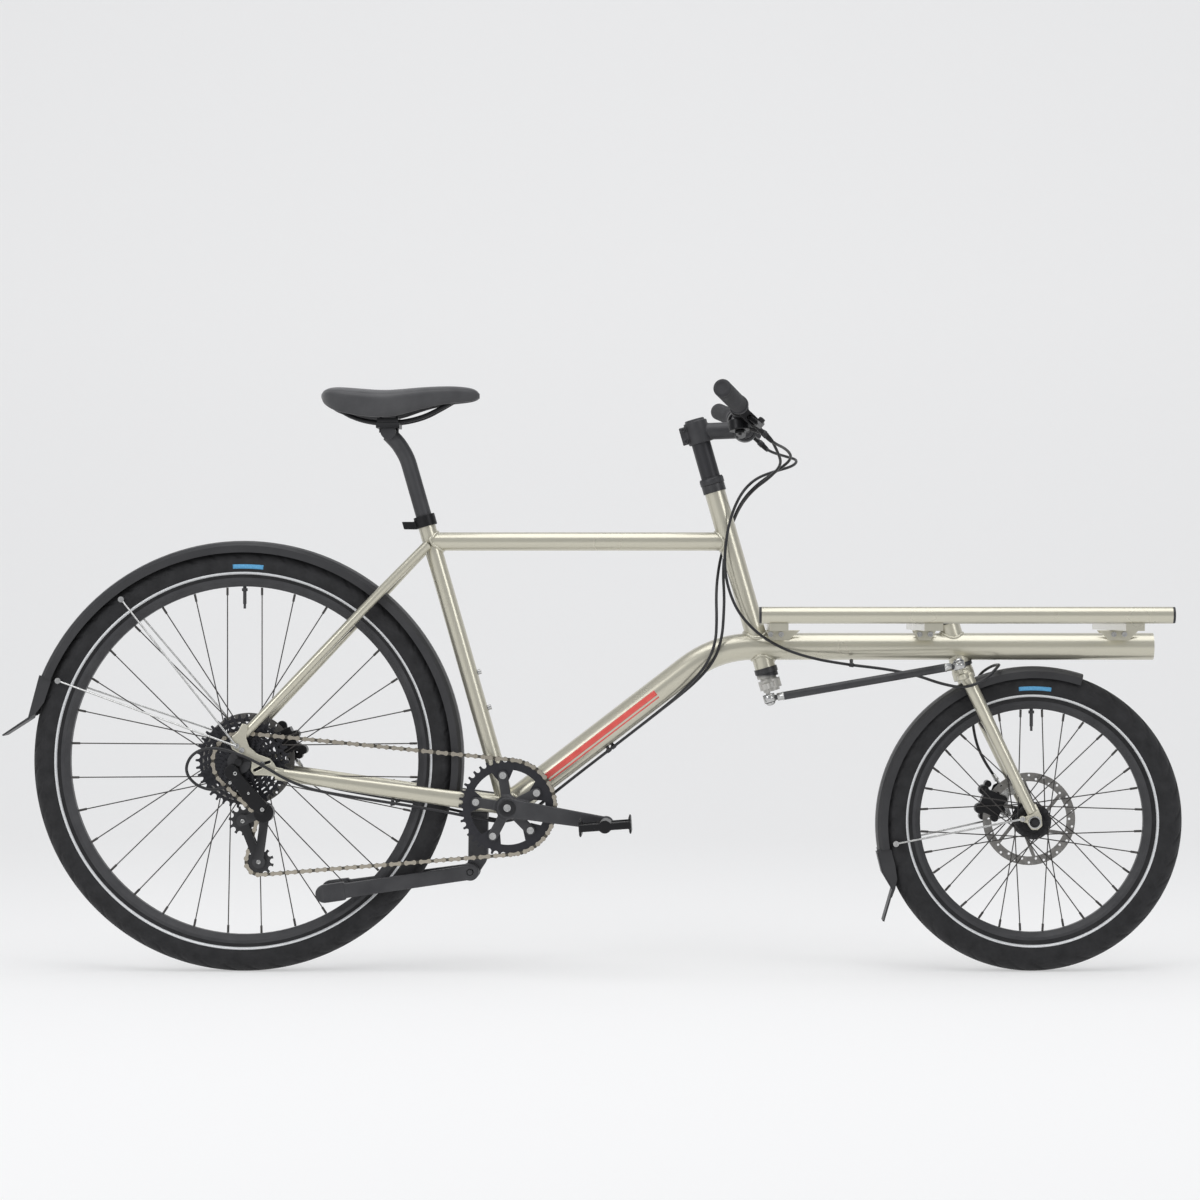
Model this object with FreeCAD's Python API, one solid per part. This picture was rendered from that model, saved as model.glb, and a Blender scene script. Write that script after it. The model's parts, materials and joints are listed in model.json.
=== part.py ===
import FreeCAD, Part
import math
import os

# Cargo bicycle with a long front load rack. Millimetres, +X forward, +Y to the rider's left, +Z up.
# The origin lies on the ground, under the middle of the bicycle's length and width.

V = FreeCAD.Vector
os.makedirs("parts", exist_ok=True)

# ---- Driving dimensions ----
REAR_AXLE = V(-598, 0, 361)
REAR_TYRE_R, REAR_TYRE_W, REAR_RIM_R, REAR_BEAD_R = 361.0, 50.0, 298.3, 311.0
FRONT_AXLE = V(752, 0, 258)
FRONT_TYRE_R, FRONT_TYRE_W, FRONT_RIM_R, FRONT_BEAD_R = 258.0, 55.0, 191.4, 203.0
RIM_W = 27.0
SPOKES = 32
SPOKE_R = 1.0
ROTOR_R = 80.0

BB = V(-144, 0, 283)
SEAT_ANGLE = 74.0
HEAD_ANGLE = 74.0
SEAT_TUBE_R, SEAT_TUBE_TOP = 15.0, 775.0
SEATPOST_R = 13.6
TOP_TUBE_R, TOP_TUBE_Z = 15.9, 736.5
HEAD_TUBE_R, HEAD_BORE_R = 18.0, 15.5
STEERER_R, STEERER_WALL = 14.3, 2.4

STEER_TOP = V(206.5, 0, 830.1)
STEER_TUBE_TOP_Z, STEER_TUBE_LOW_Z = 821.0, 520.0
FORK_TOP = V(614.2, 0, 583.0)
FORK_TUBE_TOP_Z, FORK_TUBE_LOW_Z = 596.0, 528.0
FORK_CUP_H = 6.0

BOOM_R, BOOM_Z, BOOM_END_X = 23.25, 556.4, 960.5
BOOM_SLOPE = 37.5
BOOM_BEND_R = 184.0

RAIL_R, RAIL_Y, RAIL_Z = 14.0, 236.0, 610.4
RAIL_X0, RAIL_X1 = 284.4, 961.9
CROSSBAR_X = (313.0, 568.0, 900.0)
CROSSBAR_W, CROSSBAR_Z0, CROSSBAR_Z1 = 31.0, 584.4, 595.1
DECK_HOLE_R, DECK_HOLE_Y = 3.3, 170.0

BAR_CLAMP = V(260.6, 0, 928)
BAR_R, BAR_CLAMP_R = 11.1, 15.9
GRIP_END = V(218.5, 340, 978.5)
GRIP_INNER = V(245.6, 220, 959.7)
GRIP_R = 15.0

CRANK = 170.0
CRANK_ANGLE = -9.1
CHAIN_Y = -46.0
CHAINRING_TEETH, COG_TEETH, JOCKEY_TEETH = 40, 24, 11
CHAIN_PITCH = 12.7
JOCKEY_UPPER = V(-596.2, 0, 264.6)
JOCKEY_LOWER = V(-577.5, 0, 192.2)
CAGE_PIVOT = V(-556.0, 0, 275.7)

SADDLE_CLAMP = V(-350.5, 0, 938.3)
REAR_GUARD_R, FRONT_GUARD_R = 376.5, 270.5
REAR_GUARD_W, FRONT_GUARD_W = 58.0, 62.0
FRONT_GUARD_CENTRE = V(755, 0, 252)
GUARD_THICK = 2.5
KICK_PIVOT = V(-209.4, 0, 171.2)
KICK_TIP = V(-447.6, 0, 137.1)
CABLE_R = 2.5

X, Y, Z = V(1, 0, 0), V(0, 1, 0), V(0, 0, 1)


# ---- Shape helpers ----
def at(p, y):
    """The point p moved to the side position y."""
    return V(p.x, y, p.z)


def polar(centre, radius, degrees, y=0.0):
    """A point in the side view, at an angle counted from forward towards up."""
    a = math.radians(degrees)
    return V(centre.x + radius * math.cos(a), y, centre.z + radius * math.sin(a))


def rod(a, b, r):
    d = b - a
    return Part.makeCylinder(r, d.Length, a, d)


def taper(a, b, ra, rb):
    d = b - a
    return Part.makeCone(ra, rb, d.Length, a, d)


def pipe(a, b, r, bore):
    """A straight tube between two points."""
    d = (b - a).normalize()
    return rod(a, b, r).cut(rod(a - d, b + d, bore))


def block(x0, x1, y0, y1, z0, z1):
    return Part.makeBox(x1 - x0, y1 - y0, z1 - z0, V(x0, y0, z0))


def plate(outline, y0, y1):
    """A flat plate whose outline is a list of (x, z) points, from y0 to y1."""
    wire = Part.makePolygon([V(x, y0, z) for x, z in outline + outline[:1]])
    return Part.Face(wire).extrude(V(0, y1 - y0, 0))


def rounded_plate(outline, radius, y0, y1):
    """A flat plate with rounded corners along its thickness."""
    solid = plate(outline, y0, y1)
    edges = [e for e in solid.Edges if abs(e.Vertexes[0].Y - e.Vertexes[-1].Y) > abs(y1 - y0) * 0.9]
    return solid.makeFillet(radius, edges)


def slant_block(a, b, side, depth_axis, width, depth):
    """A rectangular bar from a to b, width along side and depth along depth_axis."""
    s, d = side * (width / 2), depth_axis * (depth / 2)
    wire = Part.makePolygon([a - s - d, a + s - d, a + s + d, a - s + d, a - s - d])
    return Part.Face(wire).extrude(b - a)


def fuse(shapes):
    shapes = list(shapes)
    return shapes[0].multiFuse(shapes[1:]).removeSplitter() if len(shapes) > 1 else shapes[0]


def group(shapes):
    """Separate solids kept in one node."""
    solids = [s for shape in shapes for s in shape.Solids]
    return Part.makeCompound(solids)


def mirrored(shape):
    return shape.mirror(V(0, 0, 0), Y)


def both_sides(shape):
    return group([shape, mirrored(shape)])


def turned(shape, centre, axis, degrees):
    copy = shape.copy()
    copy.rotate(centre, axis, degrees)
    return copy


def shifted(shape, offset):
    copy = shape.copy()
    copy.translate(offset)
    return copy


def revolve_y(profile, centre):
    """Turns a closed (radius, y) outline about the wheel axis through centre."""
    wire = Part.makePolygon([V(centre.x + r, y, centre.z) for r, y in profile + profile[:1]])
    return Part.Face(wire).revolve(centre, Y, 360)


def arc_sector(centre, r_in, r_out, start, end, y0, y1):
    """A curved slab in the side view, from one angle to another."""
    a, b = polar(centre, r_in, start, y0), polar(centre, r_out, start, y0)
    c, d = polar(centre, r_out, end, y0), polar(centre, r_in, end, y0)
    middle = (start + end) / 2
    outer = Part.Arc(b, polar(centre, r_out, middle, y0), c).toShape()
    inner = Part.Arc(d, polar(centre, r_in, middle, y0), a).toShape()
    wire = Part.Wire([Part.LineSegment(a, b).toShape(), outer, Part.LineSegment(c, d).toShape(), inner])
    return Part.Face(wire).extrude(V(0, y1 - y0, 0))


def cable_path(points, share=0.45, radii=None):
    """Straight runs joined by tangent arcs, each arc as large as its runs allow."""
    edges, start = [], points[0]
    for before, corner, after in zip(points, points[1:], points[2:]):
        u, w = (corner - before), (after - corner)
        shorter = min(u.Length, w.Length)
        u.normalize()
        w.normalize()
        half = u.getAngle(w) / 2
        reach = share * shorter
        if radii is not None:
            radii.append(reach / math.tan(half))
        first, last = corner - u * reach, corner + w * reach
        inward = (w - u).normalize()
        centre = corner + inward * (reach / math.tan(half) / math.cos(half))
        middle = centre - inward * (reach / math.tan(half))
        edges.append(Part.LineSegment(start, first).toShape())
        edges.append(Part.Arc(first, middle, last).toShape())
        start = last
    edges.append(Part.LineSegment(start, points[-1]).toShape())
    return Part.Wire(edges)


def cable(points, r, share=0.45, report=None):
    """A round tube along straight runs and tangent arcs."""
    radii = []
    path = cable_path(points, share, radii)
    profile = Part.Wire(Part.makeCircle(r, points[0], points[1] - points[0]))
    solid = path.makePipeShell([profile], True, False)
    if report:
        ratio = solid.Volume / (math.pi * r * r * path.Length)
        print(f"{report}: length {path.Length:.0f}, tightest radius {min(radii):.1f},"
              f" volume ratio {ratio:.4f}")
    return solid


def export(name, shape):
    shape.exportStep(f"parts/{name}.step")


# ---- Axes of the frame ----
SEAT_UP = V(-math.cos(math.radians(SEAT_ANGLE)), 0, math.sin(math.radians(SEAT_ANGLE)))
STEER_UP = V(-math.cos(math.radians(HEAD_ANGLE)), 0, math.sin(math.radians(HEAD_ANGLE)))
STEER_FORWARD = V(STEER_UP.z, 0, -STEER_UP.x)
SEAT_FOOT = V(BB.x - 4, 0, BB.z)


def on_axis(point, up, z):
    """The point of a sloping axis at height z."""
    return point + up * ((z - point.z) / up.z)


def seat_at(z):
    return on_axis(SEAT_FOOT, SEAT_UP, z)


def steer_at(z):
    return on_axis(STEER_TOP, STEER_UP, z)


def fork_at(z):
    return on_axis(FORK_TOP, STEER_UP, z)


# ---- Main tubes ----
shell_r = 21.0
bb_bore = 17.0
tube_wall = 2.0
seat_bore = SEATPOST_R + 0.08
shell_core = rod(at(BB, -60), at(BB, 60), shell_r)
seat_outer = rod(seat_at(BB.z), seat_at(SEAT_TUBE_TOP), SEAT_TUBE_R)
steer_outer = rod(steer_at(STEER_TUBE_LOW_Z), steer_at(STEER_TUBE_TOP_Z), HEAD_TUBE_R)
fork_outer = rod(fork_at(FORK_TUBE_LOW_Z), fork_at(FORK_TUBE_TOP_Z), HEAD_TUBE_R)

bottom_bracket_shell = pipe(at(BB, -34), at(BB, 34), shell_r, bb_bore)
seat_tube = pipe(seat_at(BB.z), seat_at(SEAT_TUBE_TOP), SEAT_TUBE_R, seat_bore).cut(shell_core)
top_tube = pipe(V(seat_at(TOP_TUBE_Z).x, 0, TOP_TUBE_Z), V(steer_at(TOP_TUBE_Z).x, 0, TOP_TUBE_Z),
                TOP_TUBE_R, TOP_TUBE_R - tube_wall).cut(seat_outer).cut(steer_outer)

slope = V(math.cos(math.radians(BOOM_SLOPE)), 0, math.sin(math.radians(BOOM_SLOPE)))
boom_corner = BB + slope * ((BOOM_Z - BB.z) / slope.z)
boom_bend_reach = BOOM_BEND_R * math.tan(math.radians(BOOM_SLOPE / 2))


def boom_solid(r):
    """The boom's bent centre line, from the bottom bracket to its front end, as a rod of radius r."""
    first, last = boom_corner - slope * boom_bend_reach, boom_corner + X * boom_bend_reach
    centre = V(last.x, 0, last.z - BOOM_BEND_R)
    middle = polar(centre, BOOM_BEND_R, 90 + BOOM_SLOPE / 2)
    edges = [Part.LineSegment(BB, first).toShape(), Part.Arc(first, middle, last).toShape(),
             Part.LineSegment(last, V(BOOM_END_X, 0, BOOM_Z)).toShape()]
    profile = Part.Wire(Part.makeCircle(r, BB, slope))
    return Part.Wire(edges).makePipeShell([profile], True, False)


boom_plug = rod(V(BOOM_END_X - 3, 0, BOOM_Z), V(BOOM_END_X, 0, BOOM_Z), BOOM_R - tube_wall)
main_boom = boom_solid(BOOM_R).cut(boom_solid(BOOM_R - tube_wall)).fuse(boom_plug)
fork_cup_room = rod(fork_at(510), fork_at(FORK_TUBE_LOW_Z), 20.1)
for tool in (shell_core, seat_outer, steer_outer, fork_outer, fork_cup_room):
    main_boom = main_boom.cut(tool)
main_boom = max(main_boom.Solids, key=lambda s: s.Volume)

head_tubes = group([pipe(steer_at(STEER_TUBE_LOW_Z), steer_at(STEER_TUBE_TOP_Z), HEAD_TUBE_R, HEAD_BORE_R),
                    pipe(fork_at(FORK_TUBE_LOW_Z), fork_at(FORK_TUBE_TOP_Z), HEAD_TUBE_R, HEAD_BORE_R)])

export("seat_tube", seat_tube)
export("top_tube", top_tube)
export("main_boom", main_boom)
export("bearing_shells", group([head_tubes, bottom_bracket_shell]))

# ---- Rear triangle ----
stay_wall = 1.6
chainstay_rear, chainstay_mid, chainstay_front = V(-537, -74, 341), V(-223, -36, 294.5), V(-160, -27, 285.5)


def oval_loft(stations):
    """A tapering oval bar through (centre, half width, half height) stations, seen along +X."""
    wires = []
    for centre, half_w, half_h in stations:
        major, minor = max(half_w, half_h), min(half_w, half_h)
        ellipse = Part.Ellipse(V(0, 0, 0), major, minor)
        wire = Part.Wire(ellipse.toShape())
        wire.rotate(V(0, 0, 0), Y, 90)
        if half_w > half_h:
            wire.rotate(V(0, 0, 0), X, 90)
        wire.translate(centre)
        wires.append(wire)
    return Part.makeLoft(wires, True, False)


chainstay = oval_loft([(chainstay_rear, 6, 10), (chainstay_mid, 7.4, 14.5)])
yoke = oval_loft([(chainstay_mid, 7.4, 14.5), (chainstay_front, 8, 15)]).cut(shell_core)
bore_start = chainstay_rear + (chainstay_mid - chainstay_rear).normalize() * 4
chainstay_bore = oval_loft([(bore_start, 6 - stay_wall, 10 - stay_wall),
                            (chainstay_mid, 7.4 - stay_wall, 14.5 - stay_wall)])
yoke_bore = oval_loft([(chainstay_mid, 7.4 - stay_wall, 14.5 - stay_wall),
                       (chainstay_front, 8 - stay_wall, 15 - stay_wall)])
HANGER = V(-608.7, 0, 344.6)
dropout_thick_in, dropout_thick_out = 71.5, 77.5
dropout_outline = [(-593, 427), (-582.8, 424), (-585.9, 401.2), (-580.7, 386.8), (-566.3, 374.5),
                   (-545.8, 367.3),
                   (-539.6, 360.1), (-535.6, 352.5), (-522, 350), (-524, 335), (-549.9, 338),
                   (-572.5, 338.6),
                   (-578.6, 346.8), (-576.6, 361.5), (-592, 372), (-610, 383), (-613.5, 392),
                   (-610.5, 404.3),
                   (-600.2, 412.5)]
adjuster_slots = [(V(-572, 0, 347), V(-561, 0, 352.5)), (V(-554.5, 0, 359), V(-546.5, 0, 361.5))]
dropout = rounded_plate(dropout_outline, 3, -dropout_thick_out, -dropout_thick_in)
dropout = dropout.cut(rod(at(REAR_AXLE, -90), at(REAR_AXLE, -60), 12.0))
for slot_start, slot_end in adjuster_slots:
    slot_r = 2.3
    across = (slot_end - slot_start).normalize().cross(Y)
    dropout = dropout.cut(slant_block(at(slot_start, -74), at(slot_end, -74), across, Y, slot_r * 2, 12))
    for place in (slot_start, slot_end):
        dropout = dropout.cut(rod(at(place, -80), at(place, -68), slot_r))
dropout = max(dropout.Solids, key=lambda solid: solid.Volume)
insert_out = 76.5
hanger_insert = rod(at(REAR_AXLE, -insert_out), at(REAR_AXLE, -dropout_thick_in), 20)
for place, lobe_r in ((HANGER, 12.5), (V(-596.5, 0, 380), 8.0)):
    middle_y = -(dropout_thick_in + insert_out) / 2
    web = slant_block(at(REAR_AXLE, middle_y), at(place, middle_y),
                      (place - REAR_AXLE).normalize().cross(Y), Y,
                      lobe_r * 2, insert_out - dropout_thick_in)
    lobe = rod(at(place, -insert_out), at(place, -dropout_thick_in), lobe_r)
    hanger_insert = fuse([hanger_insert, web, lobe])
hanger_insert = hanger_insert.cut(dropout).cut(rod(at(REAR_AXLE, -90), at(REAR_AXLE, -60), 6.0))
hanger_insert = max(hanger_insert.Solids, key=lambda solid: solid.Volume)
seatstay_path = [V(-590, -67, 408), V(-420, -54, 588), V(-345, -41, 667), V(-283, -19, 731)]
seatstay_bore_start = seatstay_path[0] + (seatstay_path[1] - seatstay_path[0]).normalize() * 12
seatstay_bore = cable([seatstay_bore_start] + seatstay_path[1:], 8.0 - stay_wall)
seatstay = cable(seatstay_path, 8.0).cut(seatstay_bore).cut(seat_outer).cut(dropout)
lower_stay = fuse([chainstay, yoke]).cut(chainstay_bore).cut(yoke_bore).cut(dropout)
rear_stays = both_sides(group([lower_stay, seatstay]))
seat_bridge = rod(V(-329, -33, 683), V(-329, 33, 683), 5.0).cut(seatstay).cut(mirrored(seatstay))
stay_bridge = rod(V(-216, -26.4, 296), V(-216, 26.4, 296), 5.0)

export("rear_stays", group([rear_stays, seat_bridge, stay_bridge]))
export("rear_dropouts", both_sides(dropout))

# ---- Cargo rack ----
rail = pipe(V(RAIL_X0, -RAIL_Y, RAIL_Z), V(RAIL_X1, -RAIL_Y, RAIL_Z), RAIL_R, RAIL_R - tube_wall)
cap_lip = rod(V(RAIL_X0 - 4, -RAIL_Y, RAIL_Z), V(RAIL_X0, -RAIL_Y, RAIL_Z), RAIL_R - 0.5)
cap_plug = rod(V(RAIL_X0, -RAIL_Y, RAIL_Z), V(RAIL_X0 + 12, -RAIL_Y, RAIL_Z), RAIL_R - tube_wall)
rear_cap = cap_lip.fuse(cap_plug)
front_cap = turned(rear_cap, V((RAIL_X0 + RAIL_X1) / 2, -RAIL_Y, RAIL_Z), Z, 180)

crossbar_half = RAIL_Y - 2
CHANNEL_Y0, CHANNEL_Y1, CHANNEL_WALL = 30.0, 205.0, 3.2
rail_cores = [rod(V(RAIL_X0, y, RAIL_Z), V(RAIL_X1, y, RAIL_Z), RAIL_R) for y in (-RAIL_Y, RAIL_Y)]


def crossbar(x):
    """A channel, open below, under both rails and drilled for the deck's bolts."""
    bar = block(x - CROSSBAR_W / 2, x + CROSSBAR_W / 2, -crossbar_half - 8, crossbar_half + 8,
                CROSSBAR_Z0, CROSSBAR_Z1 + 2)
    for core in rail_cores:
        bar = bar.cut(core)
    bar = bar.cut(block(x - 20, x + 20, -RAIL_Y + RAIL_R, RAIL_Y - RAIL_R, CROSSBAR_Z1, CROSSBAR_Z1 + 3))
    for y0, y1 in ((-CHANNEL_Y1, -CHANNEL_Y0), (CHANNEL_Y0, CHANNEL_Y1)):
        bar = bar.cut(block(x - CROSSBAR_W / 2 + CHANNEL_WALL, x + CROSSBAR_W / 2 - CHANNEL_WALL, y0, y1,
                            CROSSBAR_Z0 - 1, CROSSBAR_Z1 - CHANNEL_WALL))
    for y in (-DECK_HOLE_Y, DECK_HOLE_Y):
        bar = bar.cut(rod(V(x, y, CROSSBAR_Z0 - 1), V(x, y, CROSSBAR_Z1 + 1), DECK_HOLE_R))
    return max(bar.Solids, key=lambda s: s.Volume)


boom_core = rod(V(230, 0, BOOM_Z), V(BOOM_END_X, 0, BOOM_Z), BOOM_R)


def boom_bracket(x, reach_back, reach_front):
    """A pair of upright gusset plates with a flat foot, between the boom and a crossbar."""
    top, low = CROSSBAR_Z0, BOOM_Z + 8
    outline = [(x + reach_back, top), (x + reach_front, top), (x + reach_front * 0.45, low),
               (x + reach_back * 0.45, low)]
    ear = plate(outline, 17, 21)
    return group([ear, mirrored(ear)]).cut(boom_core)


rack_brackets = group([boom_bracket(x, *reach) for x, reach in
                       zip(CROSSBAR_X, ((-18, 42), (-20, 20), (-34, 34)))]).cut(steer_outer)
bolt_head_r, bolt_head_h = 4.6, 4.5


def bolt(a, direction, head_r, head_h):
    """A socket-head bolt seen from outside: the head with its hexagonal recess."""
    d = V(direction).normalize()
    socket = rod(a + d * (head_h * 0.45), a + d * (head_h + 1), head_r * 0.5)
    return rod(a, a + d * head_h, head_r).cut(socket)


rack_bolts = [bolt(V(x + dx, side * 21, CROSSBAR_Z0 - 7), V(0, side, 0), bolt_head_r, bolt_head_h)
              for x in CROSSBAR_X for dx in (-9, 9) for side in (-1, 1)]
bottle_bolts = [bolt(seat_at(z) + V(SEAT_UP.z, 0, -SEAT_UP.x) * SEAT_TUBE_R,
                     V(SEAT_UP.z, 0, -SEAT_UP.x), 4.5, 6)
                for z in (508.0, 447.0)]
dropout_bolts = [bolt(V(x, side * dropout_thick_out, z), V(0, side, 0), 4.5, 4.5)
                 for x, z in ((-601.5, 388.5), (-593.0, 381.5), (-558.5, 358.0)) for side in (-1, 1)]

export("cargo_rails", both_sides(rail))
export("rail_end_caps", both_sides(group([rear_cap, front_cap])))
export("cargo_crossbars", group([crossbar(x) for x in CROSSBAR_X]))
export("rack_brackets", rack_brackets)

# ---- Seat collar, seatpost and saddle ----
collar_low, collar_top = seat_at(762), seat_at(781)
collar_lug = slant_block(seat_at(765) - V(27, 0, 7.8), seat_at(778) - V(27, 0, 7.8), X, Y, 22, 15)
seat_collar = fuse([rod(collar_low, collar_top, SEAT_TUBE_R + 3.6), collar_lug])
seat_collar = seat_collar.cut(rod(seat_at(750), seat_at(SEAT_TUBE_TOP), SEAT_TUBE_R))
seat_collar = seat_collar.cut(rod(seat_at(750), seat_at(800), seat_bore))
seat_collar = seat_collar.cut(block(-340, seat_at(770).x - 16, -1, 1, 740, 800))
seat_collar = max(seat_collar.Solids, key=lambda s: s.Volume)

post_low, post_bend = seat_at(560), seat_at(880)
post_top = SADDLE_CLAMP - V(0, 0, 17)
post_curve = cable_path([post_low, post_bend, seat_at(905) - V(8, 0, 0), post_top])
post_shell = post_curve.makePipeShell([Part.Wire(Part.makeCircle(SEATPOST_R, post_low, SEAT_UP))],
                                      True, False)
post_bore = rod(seat_at(555), seat_at(860), SEATPOST_R - 2.2)
cradle = rod(SADDLE_CLAMP + V(0, -20, -14), SADDLE_CLAMP + V(0, 20, -14), 13)
seatpost = fuse([post_shell.cut(post_bore),
                 cradle.cut(block(-380, -320, -30, 30, SADDLE_CLAMP.z - 8, 960))])

RAIL_GAUGE, SADDLE_RAIL_R = 22.0, 3.5
rail_z = SADDLE_CLAMP.z + 1.5
clamp_low = block(SADDLE_CLAMP.x - 20, SADDLE_CLAMP.x + 20, -28, 28, SADDLE_CLAMP.z - 8, SADDLE_CLAMP.z + 1)
clamp_top = block(SADDLE_CLAMP.x - 18, SADDLE_CLAMP.x + 18, -28, 28, SADDLE_CLAMP.z + 2, SADDLE_CLAMP.z + 9)
saddle_rail_path = [V(-445, -26, 976), V(-428, -24, 956), V(-400, -RAIL_GAUGE, 945),
                    V(-372, -RAIL_GAUGE, rail_z),
                    V(-330, -RAIL_GAUGE, rail_z), V(-290, -20, 949), V(-254, -14, 968), V(-235, -9, 979)]
saddle_rail = cable(saddle_rail_path, SADDLE_RAIL_R)
clamp_bolts = [rod(V(SADDLE_CLAMP.x + dx, 0, SADDLE_CLAMP.z - 15),
                   V(SADDLE_CLAMP.x + dx, 0, SADDLE_CLAMP.z + 13), 2.9)
               for dx in (-14, 14)]
saddle_clamp = fuse([clamp_low,
                     clamp_top] + clamp_bolts).cut(saddle_rail).cut(mirrored(saddle_rail)).cut(seatpost)

saddle_stations = [(-462, 58, 14, 984), (-440, 68, 18, 984), (-400, 72, 20, 983), (-360, 64, 19, 983),
                   (-320, 46, 17, 985), (-280, 32, 14, 988), (-235, 21, 11, 989), (-200, 14, 7, 987)]


def saddle_body():
    wires = []
    for x, half_w, half_h, z in saddle_stations:
        wire = Part.Wire(Part.Ellipse(V(0, 0, 0), half_w, half_h).toShape())
        wire.rotate(V(0, 0, 0), X, 90)
        wire.rotate(V(0, 0, 0), Z, 90)
        wire.translate(V(x, 0, z))
        wires.append(wire)
    return Part.makeLoft(wires, True, True)


saddle = saddle_body().cut(saddle_rail).cut(mirrored(saddle_rail))
export("seat_collar", seat_collar)
export("seatpost", seatpost)
export("saddle_rails_and_clamp", group([saddle_clamp, both_sides(saddle_rail)]))
export("saddle", saddle)

# ---- Steering column, stem and handlebar ----
RISER_R, RISER_TOP_Z, CLAMP_TOP_Z = 16.5, 905.0, 942.0
run_gap = 0.4
headset_low_z = STEER_TUBE_LOW_Z - 9


def cup(low, high, r, core, inner_r):
    """A bearing cup: a lip outside the head tube and a skirt pressed inside it."""
    d = (high - low).normalize()
    return rod(low, high, r).cut(rod(low - d * 20, high + d * 20, inner_r)).cut(core)


steer_bore = STEERER_R + 0.06
upper_cup = cup(steer_at(STEER_TUBE_TOP_Z), steer_at(834), 20, steer_outer, steer_bore)
lower_cup = cup(steer_at(headset_low_z), steer_at(STEER_TUBE_LOW_Z), 20, steer_outer, steer_bore)
fork_upper_cup = cup(fork_at(FORK_TUBE_TOP_Z), fork_at(FORK_TUBE_TOP_Z + 8), 20, fork_outer, steer_bore)
fork_lower_cup = cup(fork_at(FORK_TUBE_LOW_Z - FORK_CUP_H), fork_at(FORK_TUBE_LOW_Z), 20, fork_outer,
                     steer_bore)
bb_cup = pipe(at(BB, -41), at(BB, -34), 20.5, 12.08)
export("bearing_cups",
       group([upper_cup, lower_cup, fork_upper_cup, fork_lower_cup, bb_cup, mirrored(bb_cup)]))

cover_low = 834 + run_gap * 2
riser = fuse([rod(steer_at(cover_low), steer_at(846), 20),
              rod(steer_at(846), steer_at(RISER_TOP_Z), RISER_R)])
steerer_core = rod(steer_at(480), steer_at(CLAMP_TOP_Z - 2), STEERER_R)
riser = riser.cut(steerer_core)
steerer_tube = pipe(steer_at(480), steer_at(CLAMP_TOP_Z - 2), STEERER_R, STEERER_R - STEERER_WALL)
lower_race = pipe(steer_at(headset_low_z - run_gap - 7), steer_at(headset_low_z - run_gap), 18.5, STEERER_R)

clamp_low_pt, clamp_top_pt = steer_at(RISER_TOP_Z), steer_at(CLAMP_TOP_Z)
column_clamp = rod(clamp_low_pt, clamp_top_pt, 20.5)
pinch_ear = slant_block(steer_at(909) - STEER_FORWARD * 22, steer_at(938) - STEER_FORWARD * 22,
                        STEER_FORWARD, Y, 16, 20)
stem_axis = (BAR_CLAMP - steer_at(BAR_CLAMP.z - 3)).normalize()
stem_tube = rod(steer_at(BAR_CLAMP.z - 3), BAR_CLAMP, 14.5)
bar_ring = rod(at(BAR_CLAMP, -21), at(BAR_CLAMP, 21), 21)
bar_core = rod(at(BAR_CLAMP, -40), at(BAR_CLAMP, 40), BAR_CLAMP_R)
stem = fuse([column_clamp, pinch_ear, stem_tube, bar_ring]).cut(steerer_core).cut(bar_core)
stem = stem.cut(block(140, steer_at(920).x - STEERER_R, -1, 1, 900, 950))
stem = max(stem.Solids, key=lambda s: s.Volume)
stem_cap = rod(steer_at(CLAMP_TOP_Z), steer_at(CLAMP_TOP_Z + 4), 17)
pinch_bolts = [bolt(steer_at(z) - STEER_FORWARD * 24 + V(0, -10, 0), V(0, -1, 0), 4, 4) for z in (914, 933)]
face_bolts = [bolt(BAR_CLAMP + stem_axis * 21 + V(1.5, y, dz), stem_axis, 3.6, 4)
              for y in (-14, 14) for dz in (-10, 10)]

export("stem", group([stem, stem_cap] + pinch_bolts + face_bolts))

bar_path = [BAR_CLAMP, V(260.0, 52, 928.6), V(253.5, 110, 944.0), GRIP_INNER, GRIP_END]
bar_sleeve = rod(at(BAR_CLAMP, -40), at(BAR_CLAMP, 40), BAR_CLAMP_R - 0.02)


def half_bar(r):
    path = [at(BAR_CLAMP, 38)] + bar_path[2:4] + [GRIP_END]
    return cable(path, r)


outer_half = half_bar(BAR_R)
handlebar = fuse([bar_sleeve, outer_half, mirrored(outer_half)])
bar_bore = half_bar(BAR_R - 2.2)
sleeve_bore = rod(at(BAR_CLAMP, -38.5), at(BAR_CLAMP, 38.5), BAR_CLAMP_R - 2.5)
handlebar = handlebar.cut(bar_bore).cut(mirrored(bar_bore)).cut(sleeve_bore)
grip_axis = (GRIP_END - GRIP_INNER).normalize()
grip_sleeve = rod(GRIP_INNER, GRIP_END + grip_axis * 3, GRIP_R)
lock_ring = rod(GRIP_INNER - grip_axis * 10, GRIP_INNER, GRIP_R + 1)
grip = fuse([grip_sleeve, lock_ring]).cut(outer_half)
export("handlebar", handlebar)
export("grips", both_sides(grip))

# ---- Handlebar controls ----
LEVER_PIVOT_REACH = 30.0
lever_seat = bar_path[2] + (GRIP_INNER - bar_path[2]) * 0.66


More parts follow.
